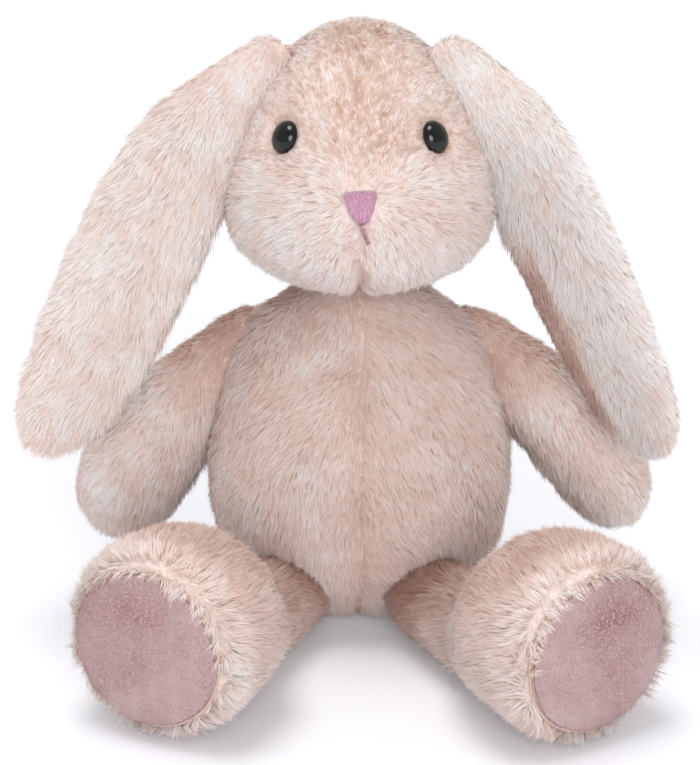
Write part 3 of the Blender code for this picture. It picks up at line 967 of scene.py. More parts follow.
@dataclass
class StuffedPiece:
    """A stuffed, pile-covered piece of the toy that moves as one body."""

    name: str
    body: str
    form: Form
    nodes: tuple[str, ...]
    coat: Coat
    seed: int
    inset: float = 2.2
    neighbours: list[Form] = field(default_factory=list)

    def comb(self, roots: Roots) -> tuple[Roots, Combing]:
        """Picks the roots that stay and lays their pile; each kind of piece has its own way.

        Args:
            roots: where pile may stand.

        Returns:
            The roots that stay, and how the pile lies there.
        """
        raise NotImplementedError

    def clear(self, roots: Roots) -> Roots:
        """Leaves out the roots that lie inside a neighbour.

        Args:
            roots: where pile may stand.

        Returns:
            The roots that stay.
        """
        hidden = np.zeros(len(roots.points), bool)
        for form in self.neighbours:
            hidden |= form.inside(roots.points, -HIDDEN_DEPTH)
        return roots.kept(~hidden)

    def sculpt(self, skin: bpy.types.Object) -> None:
        """Dents and creases of the skin; most pieces have none."""

    def build(self, materials: Materials) -> None:
        """Makes the skin and its pile, and sets them on their body.

        Args:
            materials: the toy's materials.
        """
        skin = self.form.skin(f"{self.name}_skin", -self.inset)
        self.sculpt(skin)
        clothe(skin, materials.backing, self.nodes)
        name = f"{self.name}_pile"
        pile = grow_pile(name, skin, self.coat, self.comb, materials.plush, self.seed)
        set_on(self.body, "plush_pile", skin, *pile)


@dataclass
class Trunk(StuffedPiece):
    """The pear-shaped body, whose pile parts at the middle seam."""

    def sculpt(self, skin: bpy.types.Object) -> None:
        """Draws the cloth in along the middle seam.

        Args:
            skin: the piece's skin.
        """
        for vert in skin.data.vertices:
            off = abs(vert.co.x) / MM
            normal = vert.normal.copy()
            vert.co -= normal * MM * 1.6 * math.exp(-((off / 2.6) ** 2)) * (
                1.0 - abs(normal.z)
            )

    def comb(self, roots: Roots) -> tuple[Roots, Combing]:
        """The pile falls down and away from the seam.

        Args:
            roots: where pile may stand.

        Returns:
            The roots that stay, and how the pile lies there.
        """
        roots = self.clear(roots)
        x, _, z = roots.points.T
        side = np.sign(x)
        seam = np.exp(-np.abs(x) / 4.0)
        sway = drift(roots.points, 46.0, 3) * 0.45 + drift(roots.points, 17.0, 4) * 0.22
        flow = np.stack([(0.22 + 0.25 * seam) * side + sway, 0.0 * x, -np.ones_like(x)], 1)
        patch = drift(roots.points, 30.0, 5) * 0.035 + drift(roots.points, 9.0, 6) * 0.03
        # Painted shade: the pile is darker along the parted middle seam, in its crease, and a
        # little darker at the top, under the head.
        tone = 0.33 + patch - 0.11 * seam - 0.02 * rise(z, 105.0, 125.0)
        length = 1.0 - 0.25 * seam - 0.35 * rise(z, 112.0, 130.0)
        lift = 1.0 + 0.25 * drift(roots.points, 22.0, 7)
        return roots, Combing(flow, length, np.minimum(tone, PALEST_ROSE), lift)


@dataclass
class Head(StuffedPiece):
    """The head, whose pile is brushed away from the nose."""

    eyes: list[Vector] = field(default_factory=list)
    nose: Vector = field(default_factory=Vector)

    def sculpt(self, skin: bpy.types.Object) -> None:
        """Sinks the eyes, and draws in the seam from the mouth to the chin.

        Args:
            skin: the piece's skin.
        """
        for vert in skin.data.vertices:
            place = vert.co / MM
            normal = vert.normal.copy()
            dent = sum(2.2 * math.exp(-(((place - eye).length / 9.0) ** 2)) for eye in self.eyes)
            if place.y < -30.0:
                below = min(max((self.nose.z - 7.0 - place.z) / 6.0, 0.0), 1.0)
                below *= min(max((place.z - self.nose.z + 34.0) / 12.0, 0.0), 1.0)
                dent += 3.4 * below * math.exp(-((place.x / 2.6) ** 2))
            vert.co -= normal * dent * MM

    def uncovered(self, roots: Roots) -> Roots:
        """Leaves out the roots under the eyes and the nose.

        Args:
            roots: where pile may stand.

        Returns:
            The roots that stay.
        """
        roots = self.clear(roots)
        p = roots.points
        off_nose = np.hypot(p[:, 0] / 6.3, (p[:, 2] - self.nose.z) / 6.0)
        under_nose = (off_nose < 0.88) & (p[:, 1] < -45.0)
        return roots.kept(~((self.from_eye(p) < 5.4) | under_nose))

    def from_eye(self, points: np.ndarray) -> np.ndarray:
        """How far each point is from the nearer eye, in mm."""
        gaps = [np.linalg.norm(points - np.array(eye), axis=1) for eye in self.eyes]
        return np.min(gaps, axis=0)

    def parting(self, points: np.ndarray) -> np.ndarray:
        """How near each point is to the fold from the mouth to the chin, from 0 to 1.

        Args:
            points: places in mm.

        Returns:
            A share for each point.
        """
        below = rise(self.nose.z - 5.0 - points[:, 2], 0.0, 5.0)
        below *= rise(-points[:, 1], 25.0, 35.0)
        return np.exp(-np.abs(points[:, 0]) / 4.0) * below

    def brushed(self, roots: Roots, back: np.ndarray) -> np.ndarray:
        """The pile's direction: away from the nose and the eyes, and down at the back.

        Args:
            roots: where it stands.
            back: how far back each root is, from 0 to 1.

        Returns:
            A direction for each root.
        """
        p = roots.points
        away = unit(p - np.array(self.nose))
        down = np.array([0.0, 0.0, -1.0])
        flow = away * (1.0 - 0.6 * back[:, None]) + down * back[:, None] + down * 0.28
        for eye in self.eyes:
            gap = p - np.array(eye)
            near = np.exp(-((np.linalg.norm(gap, axis=1) / 9.0) ** 2))
            near *= rise(gap[:, 0] * np.sign(eye.x), -4.0, 2.0)
            flow += unit(gap) * near[:, None] * 1.6
        flow[:, 0] += np.sign(p[:, 0]) * 1.4 * self.parting(p)
        swirl = drift(p, 26.0, 11)[:, None] * 0.4 + drift(p, 11.0, 12)[:, None] * 0.25
        return unit(flow) + np.cross(roots.normals, unit(flow)) * swirl

    def comb(self, roots: Roots) -> tuple[Roots, Combing]:
        """Short peach pile on the brow, longer pale pile round the muzzle and cheeks.

        Args:
            roots: where pile may stand.

        Returns:
            The roots that stay, and how the pile lies there.
        """
        roots = self.uncovered(roots)
        p, nose = roots.points, self.nose.z
        from_eye = self.from_eye(p)
        from_nose = np.linalg.norm(p - np.array(self.nose), axis=1)
        back = rise(p[:, 1], -25.0, 5.0)
        brow = rise(p[:, 2], nose + 2.0, nose + 20.0) * (1.0 - rise(p[:, 1], -12.0, 20.0))
        bridge = brow * np.exp(-((p[:, 0] / 19.0) ** 2))
        muzzle = np.exp(-((from_nose / 30.0) ** 2))
        muzzle *= 1.0 - rise(p[:, 2], nose - 22.0, nose - 4.0)
        near_nose = np.exp(-(((from_nose - 5.0) / 8.0) ** 2))
        length = 1.0 - 0.42 * brow - 0.15 * bridge - 0.40 * near_nose
        outer = rise(np.abs(p[:, 0]) - abs(self.eyes[0].x), -3.0, 3.0)
        length *= 1.0 - (0.15 + 0.35 * outer) * np.exp(-(((from_eye - 6.0) / 6.0) ** 2))
        patch = drift(p, 22.0, 13) * 0.03 + drift(p, 7.0, 14) * 0.03
        tone = np.minimum(0.39 + patch + 0.05 * muzzle, PALEST_ROSE)
        # Painted shade: a darker ring round each eye, in the socket where it is sunk.
        tone -= 0.11 * np.exp(-(((from_eye - 5.5) / 2.5) ** 2))
        # Painted shade: darker low at the back of the head's sides, under the ears, and along the
        # fold from the mouth to the chin.
        painted_rear_shade = back * (1.0 - rise(p[:, 2], nose + 16.0, nose + 42.0))
        tone -= 0.2 * painted_rear_shade + 0.09 * self.parting(p) + 0.03 * brow
        chance = np.random.default_rng(self.seed + 1).random(len(p))
        peach = chance < 0.8 * np.maximum(bridge, 0.4 * brow)
        mottle = 0.04 * drift(p, 5.5, 15) * bridge
        tone = np.where(peach, tone + 0.45 - 0.06 * bridge + mottle, tone)
        lift = 1.0 - 0.3 * brow + 0.25 * muzzle
        flow = self.brushed(roots, back)
        return roots, Combing(flow, np.clip(length, 0.25, 1.2), tone, lift)


@dataclass
class Limb(StuffedPiece):
    """An arm or a leg, whose pile runs from its sewn root to its end."""

    way: float = 1.0
    root_cut: float = 0.4

    def comb(self, roots: Roots) -> tuple[Roots, Combing]:
        """The pile runs along the limb, and spreads a little at its end.

        Args:
            roots: where pile may stand.

        Returns:
            The roots that stay, and how the pile lies there.
        """
        roots = self.clear(roots)
        own = self.form.local(roots.points)
        end = self.form.sections[-1][0]
        frame_of = np.array(self.form.place)[:3, :3]
        spread = own.copy()
        spread[:, 2] = 0.0
        outward = unit(spread) @ frame_of.T
        sway = drift(roots.points, 30.0, self.seed)[:, None] * 0.35
        sway += drift(roots.points, 12.0, self.seed + 1)[:, None] * 0.25
        way = self.form.along() * self.way
        flow = way + np.cross(roots.normals, way) * sway + np.array([0.0, 0.0, -0.35])
        tip = rise(own[:, 2], end - 26.0, end - 4.0)
        flow += outward * 0.25 * tip[:, None]
        root = 1.0 - rise(own[:, 2], 2.0, 34.0)
        patch = drift(roots.points, 24.0, self.seed + 2) * 0.035
        patch += drift(roots.points, 8.0, self.seed + 3) * 0.03
        # Painted shade: the pile is darker towards the limb's root, in the crease where it is sewn
        # to the body.
        tone = 0.37 + patch - 0.21 * root
        length = 1.0 - self.root_cut * root
        lift = 1.0 + 0.2 * drift(roots.points, 18.0, self.seed + 4)
        return roots, Combing(flow, length, np.minimum(tone, PALEST_ROSE), lift)


@dataclass
class Leg(Limb):
    """A leg, with the pile of the foot's rim falling over the sole."""

    sole: Form | None = None
    inset: float = 0.8
    way: float = -1.0
    root_cut: float = 0.2

    def comb(self, roots: Roots) -> tuple[Roots, Combing]:
        """Longer, paler pile at the rim, none under the sole.

        Args:
            roots: where pile may stand.

        Returns:
            The roots that stay, and how the pile lies there.
        """
        own = self.form.local(roots.points)
        wide, deep = self.sole.sections[0][1:3]
        centre = self.sole.sections[0][4]
        oval = np.hypot(own[:, 0] / (wide * 0.91), (own[:, 1] - centre) / (deep * 0.91))
        roots = roots.kept(~((own[:, 2] > FOOT_FRONT - 1.5) & (oval < 0.97)))
        roots, combed = super().comb(roots)
        own = self.form.local(roots.points)
        rim = rise(own[:, 2], FOOT_FRONT - 14.0, FOOT_FRONT - 2.0)
        up = rise(own[:, 1] - centre, -10.0, 25.0)
        lip = rise(own[:, 2], FOOT_FRONT - 5.0, FOOT_FRONT - 0.5)
        radial = own - np.array([0.0, centre, 0.0])
        radial[:, 2] = 0.0
        outward = unit(radial) @ np.array(self.form.place)[:3, :3].T
        combed.flow += self.form.along() * 2.2 * lip[:, None]
        combed.flow += outward * (lip * (1.0 - 1.6 * up))[:, None]
        combed.length *= 1.0 + 0.15 * rim
        # Painted shade: pile that faces upwards, away from the rim, is darker, to offset the light
        # that falls on the top of the foot.
        painted_top_shade = rise(roots.normals[:, 2], 0.0, 0.8) * (1.0 - rim)
        # Painted shade: the pile is a little darker near the hip, under the body.
        thigh = 1.0 - rise(own[:, 2], 30.0, 58.0)
        combed.tone = combed.tone - 0.05 + 0.06 * rim - 0.12 * painted_top_shade - 0.04 * thigh
        combed.lift *= 1.0 + 0.5 * rim
        return roots, combed


@dataclass
class Ear(StuffedPiece):
    """A long ear, with pile in front and round its edge and a short lining at its back."""

    lining: Form | None = None
    tone: float = 0.4
    tip_cut: float = 0.0

    def rolled_edge(self, own: np.ndarray) -> np.ndarray:
        """Where the lining's shorter, pinker pile comes round the edge of a rolled ear.

        Args:
            own: places in the ear's frame, in mm.

        Returns:
            A share from 0 to 1 for each.
        """
        if not self.form.roll:
            return np.zeros(len(own))
        table = np.array(self.form.sections)
        half = np.interp(own[:, 2], table[:, 0], table[:, 1])
        inner = rise((own[:, 0] - self.centre(own)) / half, 0.2, 0.5)
        return inner * rise(own[:, 2], 56.0, 80.0) * (1.0 - rise(own[:, 2], 128.0, 146.0))

    def centre(self, own: np.ndarray) -> np.ndarray:
        """Where the ear's middle is across it, for places in the ear's frame."""
        table = np.array(self.form.sections)
        return np.interp(own[:, 2], table[:, 0], table[:, 3])

    def comb(self, roots: Roots) -> tuple[Roots, Combing]:
        """The pile falls from the root to the tip and a little outwards.

        Args:
            roots: where pile may stand.

        Returns:
            The roots that stay, and how the pile lies there.
        """
        behind = self.lining.inside(roots.points, 0.6)
        behind &= self.form.local(roots.points)[:, 1] > 2.0
        roots = self.clear(roots.kept(~behind))
        own = self.form.local(roots.points)
        off = (own[:, 0] - self.centre(own)) / 20.0
        sway = drift(roots.points, 34.0, self.seed) * 0.22
        sway += drift(roots.points, 13.0, self.seed + 1) * 0.2
        side = np.array(self.form.place)[:3, 0]
        flow = self.form.along() + side * (0.35 * off + sway)[:, None]
        top = 1.0 - rise(own[:, 2], 4.0, 40.0)
        edge = self.rolled_edge(own)
        patch = drift(roots.points, 26.0, self.seed + 2) * 0.025
        patch += drift(roots.points, 8.0, self.seed + 3) * 0.025
        # Painted shade: the pile is a little darker near the ear's root, where it meets the head.
        tone = self.tone + patch - 0.02 * top - 0.02 * rise(own[:, 2], 100.0, 150.0)
        tone -= 0.27 * edge
        tip = rise(own[:, 2], 135.0, 155.0)
        length = 1.0 - 0.45 * top - 0.45 * edge - self.tip_cut * tip
        lift = 1.0 - 0.3 * top + 0.2 * drift(roots.points, 20.0, self.seed + 4)
        return roots, Combing(flow, length, np.minimum(tone, PALEST_ROSE), lift)

    def comb_lining(self, roots: Roots) -> tuple[Roots, Combing]:
        """Short pile, brushed down the ear.

        Args:
            roots: where pile may stand.

        Returns:
            The roots that stay, and how the pile lies there.
        """
        roots = roots.kept(self.lining.local(roots.points)[:, 1] > 2.5)
        plain = np.ones(len(roots.points))
        flow = np.tile(self.form.along(), (len(plain), 1))
        tone = 0.5 + drift(roots.points, 18.0, self.seed + 5) * 0.12
        return roots, Combing(flow, plain, tone, plain)

    def build(self, materials: Materials) -> None:
        """Adds the lining to the ear.

        Args:
            materials: the toy's materials.
        """
        super().build(materials)
        skin = self.lining.skin(f"{self.name}_lining_skin", -0.6)
        clothe(skin, materials.backing, [self.name.replace("ear", "ear_lining")])
        name = f"{self.name}_lining_pile"
        pile = grow_pile(
            name, skin, LINING_COAT, self.comb_lining, materials.lining, self.seed + 6
        )
        set_on(self.body, "ear_lining_pile", skin, *pile)


@dataclass
class Tail(StuffedPiece):
    """A round tail with long pile."""

    centre: Vector = field(default_factory=Vector)

    def comb(self, roots: Roots) -> tuple[Roots, Combing]:
        """The pile stands out all round and droops.

        Args:
            roots: where pile may stand.

        Returns:
            The roots that stay, and how the pile lies there.
        """
        roots = self.clear(roots)
        away = unit(roots.points - np.array(self.centre))
        flow = away * 0.4 + np.array([0.0, 0.5, -1.0])
        tone = 0.36 + drift(roots.points, 12.0, self.seed) * 0.04
        plain = np.ones(len(roots.points))
        return roots, Combing(flow, plain, tone, plain * 1.5)


@dataclass
class Sole:
    """A velour sole, softly crowned, with a dark ring of painted shade along the seam that holds it
    in the foot.
    """

    side: Side
    form: Form
    seed: int
    # A darker patch high on the sole: its middle and its size across the sole, in mm.
    dark_patch_at: tuple[float, float] = (2.0, 31.0)
    dark_patch_size: tuple[float, float] = (9.0, 6.0)

    @property
    def body(self) -> str:
        """The body that the sole moves with."""
        return f"leg_{self.side.value}"

    def comb(self, roots: Roots) -> tuple[Roots, Combing]:
        """Very short pile in broad darker and paler patches, brushed this way and that.

        Args:
            roots: where pile may stand.

        Returns:
            The roots that stay, and how the pile lies there.
        """
        own = self.form.local(roots.points)
        top = own[:, 2] > FOOT_FRONT + 0.5
        roots, own = roots.kept(top), own[top]
        p = roots.points
        turn = drift(p, 24.0, self.seed)[:, None]
        flow = np.array([0.0, 0.0, -1.0]) + np.cross(roots.normals, (0.0, 0.0, 1.0)) * turn
        broad = drift(p, 26.0, self.seed + 1)
        # The pile is darker in a patch high on the sole.
        off = (own[:, :2] - np.array(self.dark_patch_at)) / np.array(self.dark_patch_size)
        dark_patch = np.exp(-(off**2).sum(axis=1))
        tone = 0.52 + 0.13 * broad + 0.06 * drift(p, 8.0, self.seed + 2) - 0.42 * dark_patch
        plain = np.ones(len(p))
        return roots, Combing(flow, plain, np.clip(tone, 0.05, 0.95), plain)

    def gap_shade_ring(self, materials: Materials) -> bpy.types.Object:
        """A thin round ring of darker cloth where the sole is sewn to the foot: painted shade for
        the shaded gap between the sole and the foot's pile.

        Args:
            materials: the toy's materials.

        Returns:
            The seam's piece.
        """
        _, wide, deep, _, height = self.form.sections[0]
        bm = bmesh.new()
        section = bmesh.ops.create_circle(bm, segments=8, radius=0.6)["verts"]
        bmesh.ops.rotate(bm, matrix=Matrix.Rotation(math.pi / 2, 3, "X"), verts=section)
        bmesh.ops.translate(bm, vec=(wide * 0.9, 0.0, 0.0), verts=section)
        bmesh.ops.spin(
            bm,
            geom=list(bm.edges) + section,
            axis=(0.0, 0.0, 1.0),
            cent=(0.0, 0.0, 0.0),
            angle=2.0 * math.pi,
            steps=96,
            use_merge=True,
        )
        bmesh.ops.remove_doubles(bm, verts=bm.verts, dist=0.01)
        bmesh.ops.scale(bm, vec=(1.0, deep / wide, 1.0), verts=bm.verts)
        bmesh.ops.translate(bm, vec=(0.0, height, FOOT_FRONT + 0.2), verts=bm.verts)
        bmesh.ops.transform(bm, matrix=self.form.place, verts=bm.verts)
        bmesh.ops.recalc_face_normals(bm, faces=bm.faces)
        return finished(f"sole_gap_shade_{self.side.value}", bm, materials.seam)

    def build(self, materials: Materials) -> None:
        """Makes the sole, its pile and the ring of painted shade along its seam.

        Args:
            materials: the toy's materials.
        """
        name = f"sole_{self.side.value}"
        skin = self.form.skin(f"{name}_skin", 0.0)
        clothe(skin, materials.sole_backing, [name])
        pile = grow_pile(
            f"{name}_pile", skin, SOLE_COAT, self.comb, materials.velour, self.seed
        )
        set_on(self.body, "sole_velour", skin, self.gap_shade_ring(materials), *pile)


@dataclass
class Face:
    """What is set on the face: the safety eyes, the stitched nose and the mouth."""

    tree: BVHTree
    eye_radius: float = 6.0
    eye_dome: float = 4.2
    eye_sink: float = 2.6
    eye_turn: float = math.radians(13.0)
    nose_top: float = 6.7
    nose_low: float = 2.6
    nose_tall: float = 5.8
    threads: int = 17

    def hit(self, x: float, height: float) -> tuple[Vector, Vector]:
        """Where a line from straight ahead meets the face, in mm, and the normal there.

        Args:
            x: across the face, in mm.
            height: above the floor, in mm.

        Returns:
            The point and the normal.
        """
        start = Vector((x, -400.0, height))
        point, normal, _, _ = self.tree.ray_cast(start, Vector((0.0, 1.0, 0.0)))
        return point, normal

    def seat(self, x: float, height: float) -> Matrix:
        """A frame on the face whose Z points out of it."""
        point, normal = self.hit(x, height)
        return limb_frame(point, normal, Vector((0.0, 0.0, 1.0)))

    def eye(self, side: Side, materials: Materials) -> bpy.types.Object:
        """A domed eye with a softly turned rim and its shank.

        Args:
            side: which side of the toy.
            materials: the toy's materials.

        Returns:
            The eye's piece.
        """
        bm = bmesh.new()
        dome = [
            (self.eye_radius * math.sin(a), self.eye_dome * math.cos(a))
            for a in np.linspace(0.0, math.pi / 2, 14)
        ]
        rim = [(5.9, -0.35), (5.55, -0.8), (5.0, -0.95), (1.9, -0.95), (1.6, -1.4), (1.6, -12.6)]
        verts = [bm.verts.new((r, 0.0, z)) for r, z in (*dome, *rim, (0.0, -13.0))]
        edges = [bm.edges.new(pair) for pair in zip(verts, verts[1:])]
        bmesh.ops.spin(
            bm,
            geom=verts + edges,
            axis=(0.0, 0.0, 1.0),
            cent=(0.0, 0.0, 0.0),
            angle=2.0 * math.pi,
            steps=48,
            use_merge=True,
        )
        bmesh.ops.remove_doubles(bm, verts=bm.verts, dist=0.01)
        point, normal = self.hit(EYE_ACROSS * side.sign, NECK_HEIGHT + EYE_RISE)
        normal.rotate(Matrix.Rotation(self.eye_turn * side.sign, 3, "Z"))
        seat = limb_frame(point, normal, Vector((0.0, 0.0, 1.0)))
        place = seat @ Matrix.Translation((0.0, 0.0, -self.eye_sink))
        bmesh.ops.transform(bm, matrix=place, verts=bm.verts)
        bmesh.ops.recalc_face_normals(bm, faces=bm.faces)
        return finished(f"eye_{side.value}_dome", bm, materials.eye)

    def thread(self, bm: bmesh.types.BMesh, path: Sequence[Vector], radius: float) -> None:
        """Adds a round thread along a path to a bmesh.

        Args:
            bm: the mesh that gets it.
            path: points in mm.
            radius: the thread's, in mm.
        """
        rings = []
        for index, point in enumerate(path):
            ahead = path[min(index + 1, len(path) - 1)] - path[max(index - 1, 0)]
            turn = ahead.to_track_quat("Z", "Y").to_matrix().to_4x4()
            thin = 0.55 if index in (0, len(path) - 1) else 1.0
            place = Matrix.Translation(point) @ turn
            ring = bmesh.ops.create_circle(bm, segments=6, radius=radius * thin, matrix=place)
            rings.append(ring["verts"])
        loft(bm, rings)

    def nose(self, materials: Materials) -> bpy.types.Object:
        """Upright satin stitches side by side over a small pad, whose darker colour is painted
        shade between them.

        Args:
            materials: the toy's materials.

        Returns:
            The nose's piece.
        """
        bm = bmesh.new()
        seat = self.seat(0.0, NECK_HEIGHT + NOSE_RISE)
        rng = np.random.default_rng(5)
        pitch = 2.0 * self.nose_top / self.threads
        for index in range(self.threads):
            share = (index + 0.5) / self.threads * 2.0 - 1.0
            top = self.nose_tall * (1.0 - 0.3 * abs(share) ** 6)
            low = -self.nose_tall * math.sqrt(1.0 - abs(share) ** 3)
            slant = self.nose_low / self.nose_top
            lift = float(rng.uniform(-0.18, 0.12))
            path = []
            for step in np.linspace(0.0, 1.0, 9):
                y = top + (low - top) * step + float(rng.normal(scale=0.05))
                narrow = slant + (1.0 - slant) * (y / self.nose_tall + 1.0) / 2.0
                x = share * self.nose_top * narrow
                crown = 2.1 * (1.0 - 0.55 * share * share) * math.sqrt(
                    max(0.0, 1.0 - (0.97 * y / self.nose_tall) ** 4)
                )
                path.append(seat @ Vector((x, y, crown - 0.4 + lift)))
            self.thread(bm, path, pitch * float(rng.uniform(0.5, 0.6)))
        bmesh.ops.recalc_face_normals(bm, faces=bm.faces)
        return finished("nose_stitches", bm, materials.nose)

    def nose_shade_pad(self, materials: Materials) -> bpy.types.Object:
        """A darker pad under the nose's stitches: painted shade that shows in the grooves between
        them.

        Args:
            materials: the toy's materials.

        Returns:
            The underlay's piece.
        """
        bm = bmesh.new()
        bmesh.ops.create_uvsphere(bm, u_segments=32, v_segments=16, radius=1.0)
        for vert in bm.verts:
            narrow = self.nose_low + (self.nose_top - self.nose_low) * (vert.co.y + 1.0) / 2.0
            vert.co.x *= narrow * 0.94
            vert.co.y *= self.nose_tall * 0.94
            vert.co.z *= 1.5
        seat = self.seat(0.0, NECK_HEIGHT + NOSE_RISE)
        bmesh.ops.transform(bm, matrix=seat, verts=bm.verts)
        return finished("nose_groove_shade", bm, materials.pad)

    def mouth(self, materials: Materials) -> bpy.types.Object:
        """One slanting stitch of two threads twisted together.

        Args:
            materials: the toy's materials.

        Returns:
            The mouth's piece.
        """
        bm = bmesh.new()
        top = NECK_HEIGHT + NOSE_RISE - self.nose_tall + 0.4
        for strand in (0.0, math.pi):
            path = []
            for share in np.linspace(0.0, 1.0, 24):
                point, normal = self.hit(2.6 * share, top - 6.5 * share)
                turn = strand + share * 14.0
                twist = Vector((math.cos(turn), 0.0, 0.3 * math.sin(turn))) * 0.28
                path.append(point + normal * (0.7 + 0.28 * math.sin(turn)) + twist)
            self.thread(bm, path, 0.52)
        bmesh.ops.recalc_face_normals(bm, faces=bm.faces)
        return finished("mouth_thread", bm, materials.mouth)

    def build(self, materials: Materials) -> None:
        """Makes the eyes, the nose and the mouth.

        Args:
            materials: the toy's materials.
        """
        for side in Side:
            eye = self.eye(side, materials)
            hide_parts(f"eye_{side.value}")
            set_on("head", "eye_plastic", eye)
            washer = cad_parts[f"eye_washer_{side.value}"]
            washer.data.materials.clear()
            washer.data.materials.append(materials.washer)
        nose, mouth = self.nose(materials), self.mouth(materials)
        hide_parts("nose")
        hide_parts("mouth_stitch")
        set_on("head", "mauve_thread", nose, self.nose_shade_pad(materials), mouth)


# ---------------------------------------------------------------------------
# The toy
# ---------------------------------------------------------------------------

Piece = StuffedPiece | Sole | Face

def surface_tree(form: Form) -> BVHTree:
    """A form's surface in mm, to cast lines at.

    Args:
        form: the form.

    Returns:
        The tree of its faces.
    """
    guide = form.skin("face_guide", 0.0, levels=1)
    points = [vert.co / MM for vert in guide.data.vertices]
    tree = BVHTree.FromPolygons(points, [face.vertices for face in guide.data.polygons])
    bpy.data.objects.remove(guide)
    return tree


def across(ovals: Sequence[Oval], sign: float) -> list[Section]:
    """Sections from ovals (along, half width, half depth, sideways), sideways along X."""
    return [(s, a, b, shift * sign, 0.0) for s, a, b, shift in ovals]


@dataclass
class Rabbit:
    """The whole toy: its forms, and the order its pieces are built in."""

    trunk: tuple[Section, ...] = (
        (-0.5, 15, 13, 0, 7),
        (-0.25, 30, 26, 0, 7),
        (6.05, 44, 36, 0, 9),
        (22, 54.5, 47.5, 0, 4),
        (44, 59.5, 52, 0, 0),
        (68.2, 59, 50, 0, -2),
        (94, 53, 42.5, 0, -1),
        (112, 44.5, 33, 0, 0),
        (121.5, 31, 25, 0, 0),
        (129, 21.5, 20.5, 0, 0),
        (135, 14, 14, 0, 0),
        (137.6, 6, 6, 0, 0),
    )
    head: tuple[Section, ...] = (
        (22.5, 20, 20, 0, -9),
        (26, 35, 33, 0, -10),
        (34.5, 48, 45, 0, -11),
        (47, 51, 47, 0, -11),
        (61, 49.5, 46.5, 0, -9),
        (81, 44.5, 43, 0, -6),
        (101, 32, 33, 0, -2),
        (110.5, 18, 20, 0, -1),
        (114, 7, 8, 0, -1),
    )
    ear: tuple[Oval, ...] = (
        (-12, 5, 4.5, 0),
        (-8.5, 11, 5.5, 0),
        (4, 13.5, 5.8, 3),
        (24, 19, 6, 8),
        (50, 23.5, 6.5, 8.5),
        (92, 25, 7, 4),
        (134, 20.5, 6, 0.5),
        (151, 13.5, 4.5, 1.5),
        (158, 6, 3, 1.5),
    )
    arm: tuple[Oval, ...] = (
        (-15, 4.5, 4.5, 0),
        (-10.5, 11.5, 11.5, 0),
        (3, 15.5, 15.5, 1),
        (33, 20, 18.5, 5),
        (56, 23, 20, 5),
        (74, 22.5, 19, 3),
        (87, 17, 14, 1.5),
        (92, 8, 6, 1),
    )
    leg: tuple[Oval, ...] = (
        (-16, 5, 5, 0),
        (-11, 12.5, 12.5, 0),
        (2, 16, 16, 0),
        (20, 16.5, 16.5, 0),
        (39, 18, 18, 1),
        (52, 26, 27, 9.5),
        (64, 35.5, 35, 17),
        (82, 37, 36.5, 18),
        (96, 35, 35, 17),
        (105, 24, 25, 16.5),
    )
    ear_hang: dict[Side, float] = field(
        default_factory=lambda: {Side.LEFT: math.radians(31.0), Side.RIGHT: math.radians(28.0)}
    )
    ear_roll: dict[Side, float] = field(
        default_factory=lambda: {Side.LEFT: 0.0, Side.RIGHT: math.radians(40.0)}
    )
    arm_hang: dict[Side, float] = field(
        default_factory=lambda: {Side.LEFT: math.radians(36.0), Side.RIGHT: math.radians(41.0)}
    )
    leg_splay: dict[Side, float] = field(
        default_factory=lambda: {Side.LEFT: math.radians(28.0), Side.RIGHT: math.radians(33.0)}
    )
    hip_forward: dict[Side, float] = field(
        default_factory=lambda: {Side.LEFT: -1.0, Side.RIGHT: 7.0}
    )

    def trunk_form(self) -> Form:
        """The body's pear."""
        return Form(self.trunk, sides=10)

    def head_form(self) -> Form:
        """The head's egg with its muzzle.

        Returns:
            The form.
        """
        place = Matrix.Translation((0.0, 0.0, NECK_HEIGHT))
        bulge = (Vector((0.0, -52.0, 46.0)), 24.0, 9.0)
        return Form(self.head, place, sides=10, bulge=bulge)

    def ear_place(self, side: Side) -> Matrix:
        """The ear's frame: its plane leans forward, and in it the ear hangs outwards.

        Args:
            side: which side of the toy.

        Returns:
            The frame.
        """
        lean, hang = math.radians(11.0), self.ear_hang[side]
        down = Vector((0.0, -math.sin(lean), -math.cos(lean)))
        direction = down * math.cos(hang) + Vector((side.sign * math.sin(hang), 0.0, 0.0))
        normal = Vector((0.0, math.cos(lean), -math.sin(lean)))
        return limb_frame(Vector((33.0 * side.sign, -8.0, NECK_HEIGHT + 98.0)), direction, normal)

    def ear_form(self, side: Side) -> Form:
        """The ear's leaf."""
        sections = across(self.ear, -side.sign)
        return Form(sections, self.ear_place(side), roll=self.ear_roll[side])

    def lining_form(self, side: Side) -> Form:
        """The leaf of the ear's lining, drawn in from the ear's edge and behind it.

        Args:
            side: which side of the toy.

        Returns:
            The form.
        """
        made = [
            (s, half - 6.0, thick * 0.5, shift * -side.sign, 3.6)
            for s, half, thick, shift in self.ear[3:-1]
        ]
        first, last = made[0], made[-1]
        made.insert(0, (first[0] - 3.0, first[1] / 2, first[2] / 2, *first[3:]))
        made.append((last[0] + 1.5, last[1] / 2, last[2] / 2, *last[3:]))
        return Form(made, self.ear_place(side), sides=6, roll=self.ear_roll[side])

    def arm_form(self, side: Side) -> Form:
        """The arm, hanging outwards; the right paw is turned a quarter round.

        Args:
            side: which side of the toy.

        Returns:
            The form.
        """
        hang = self.arm_hang[side]
        direction = Vector((side.sign * math.sin(hang), 0.0, -math.cos(hang)))
        pivot = Vector((42.0 * side.sign, 6.0, NECK_HEIGHT - 8.0))
        sections = across(self.arm, side.sign)
        if side is Side.RIGHT:
            sections = [(s, b, a, x, y) for s, a, b, x, y in sections]
        return Form(sections, limb_frame(pivot, direction, Vector((0.0, -1.0, 0.0))))

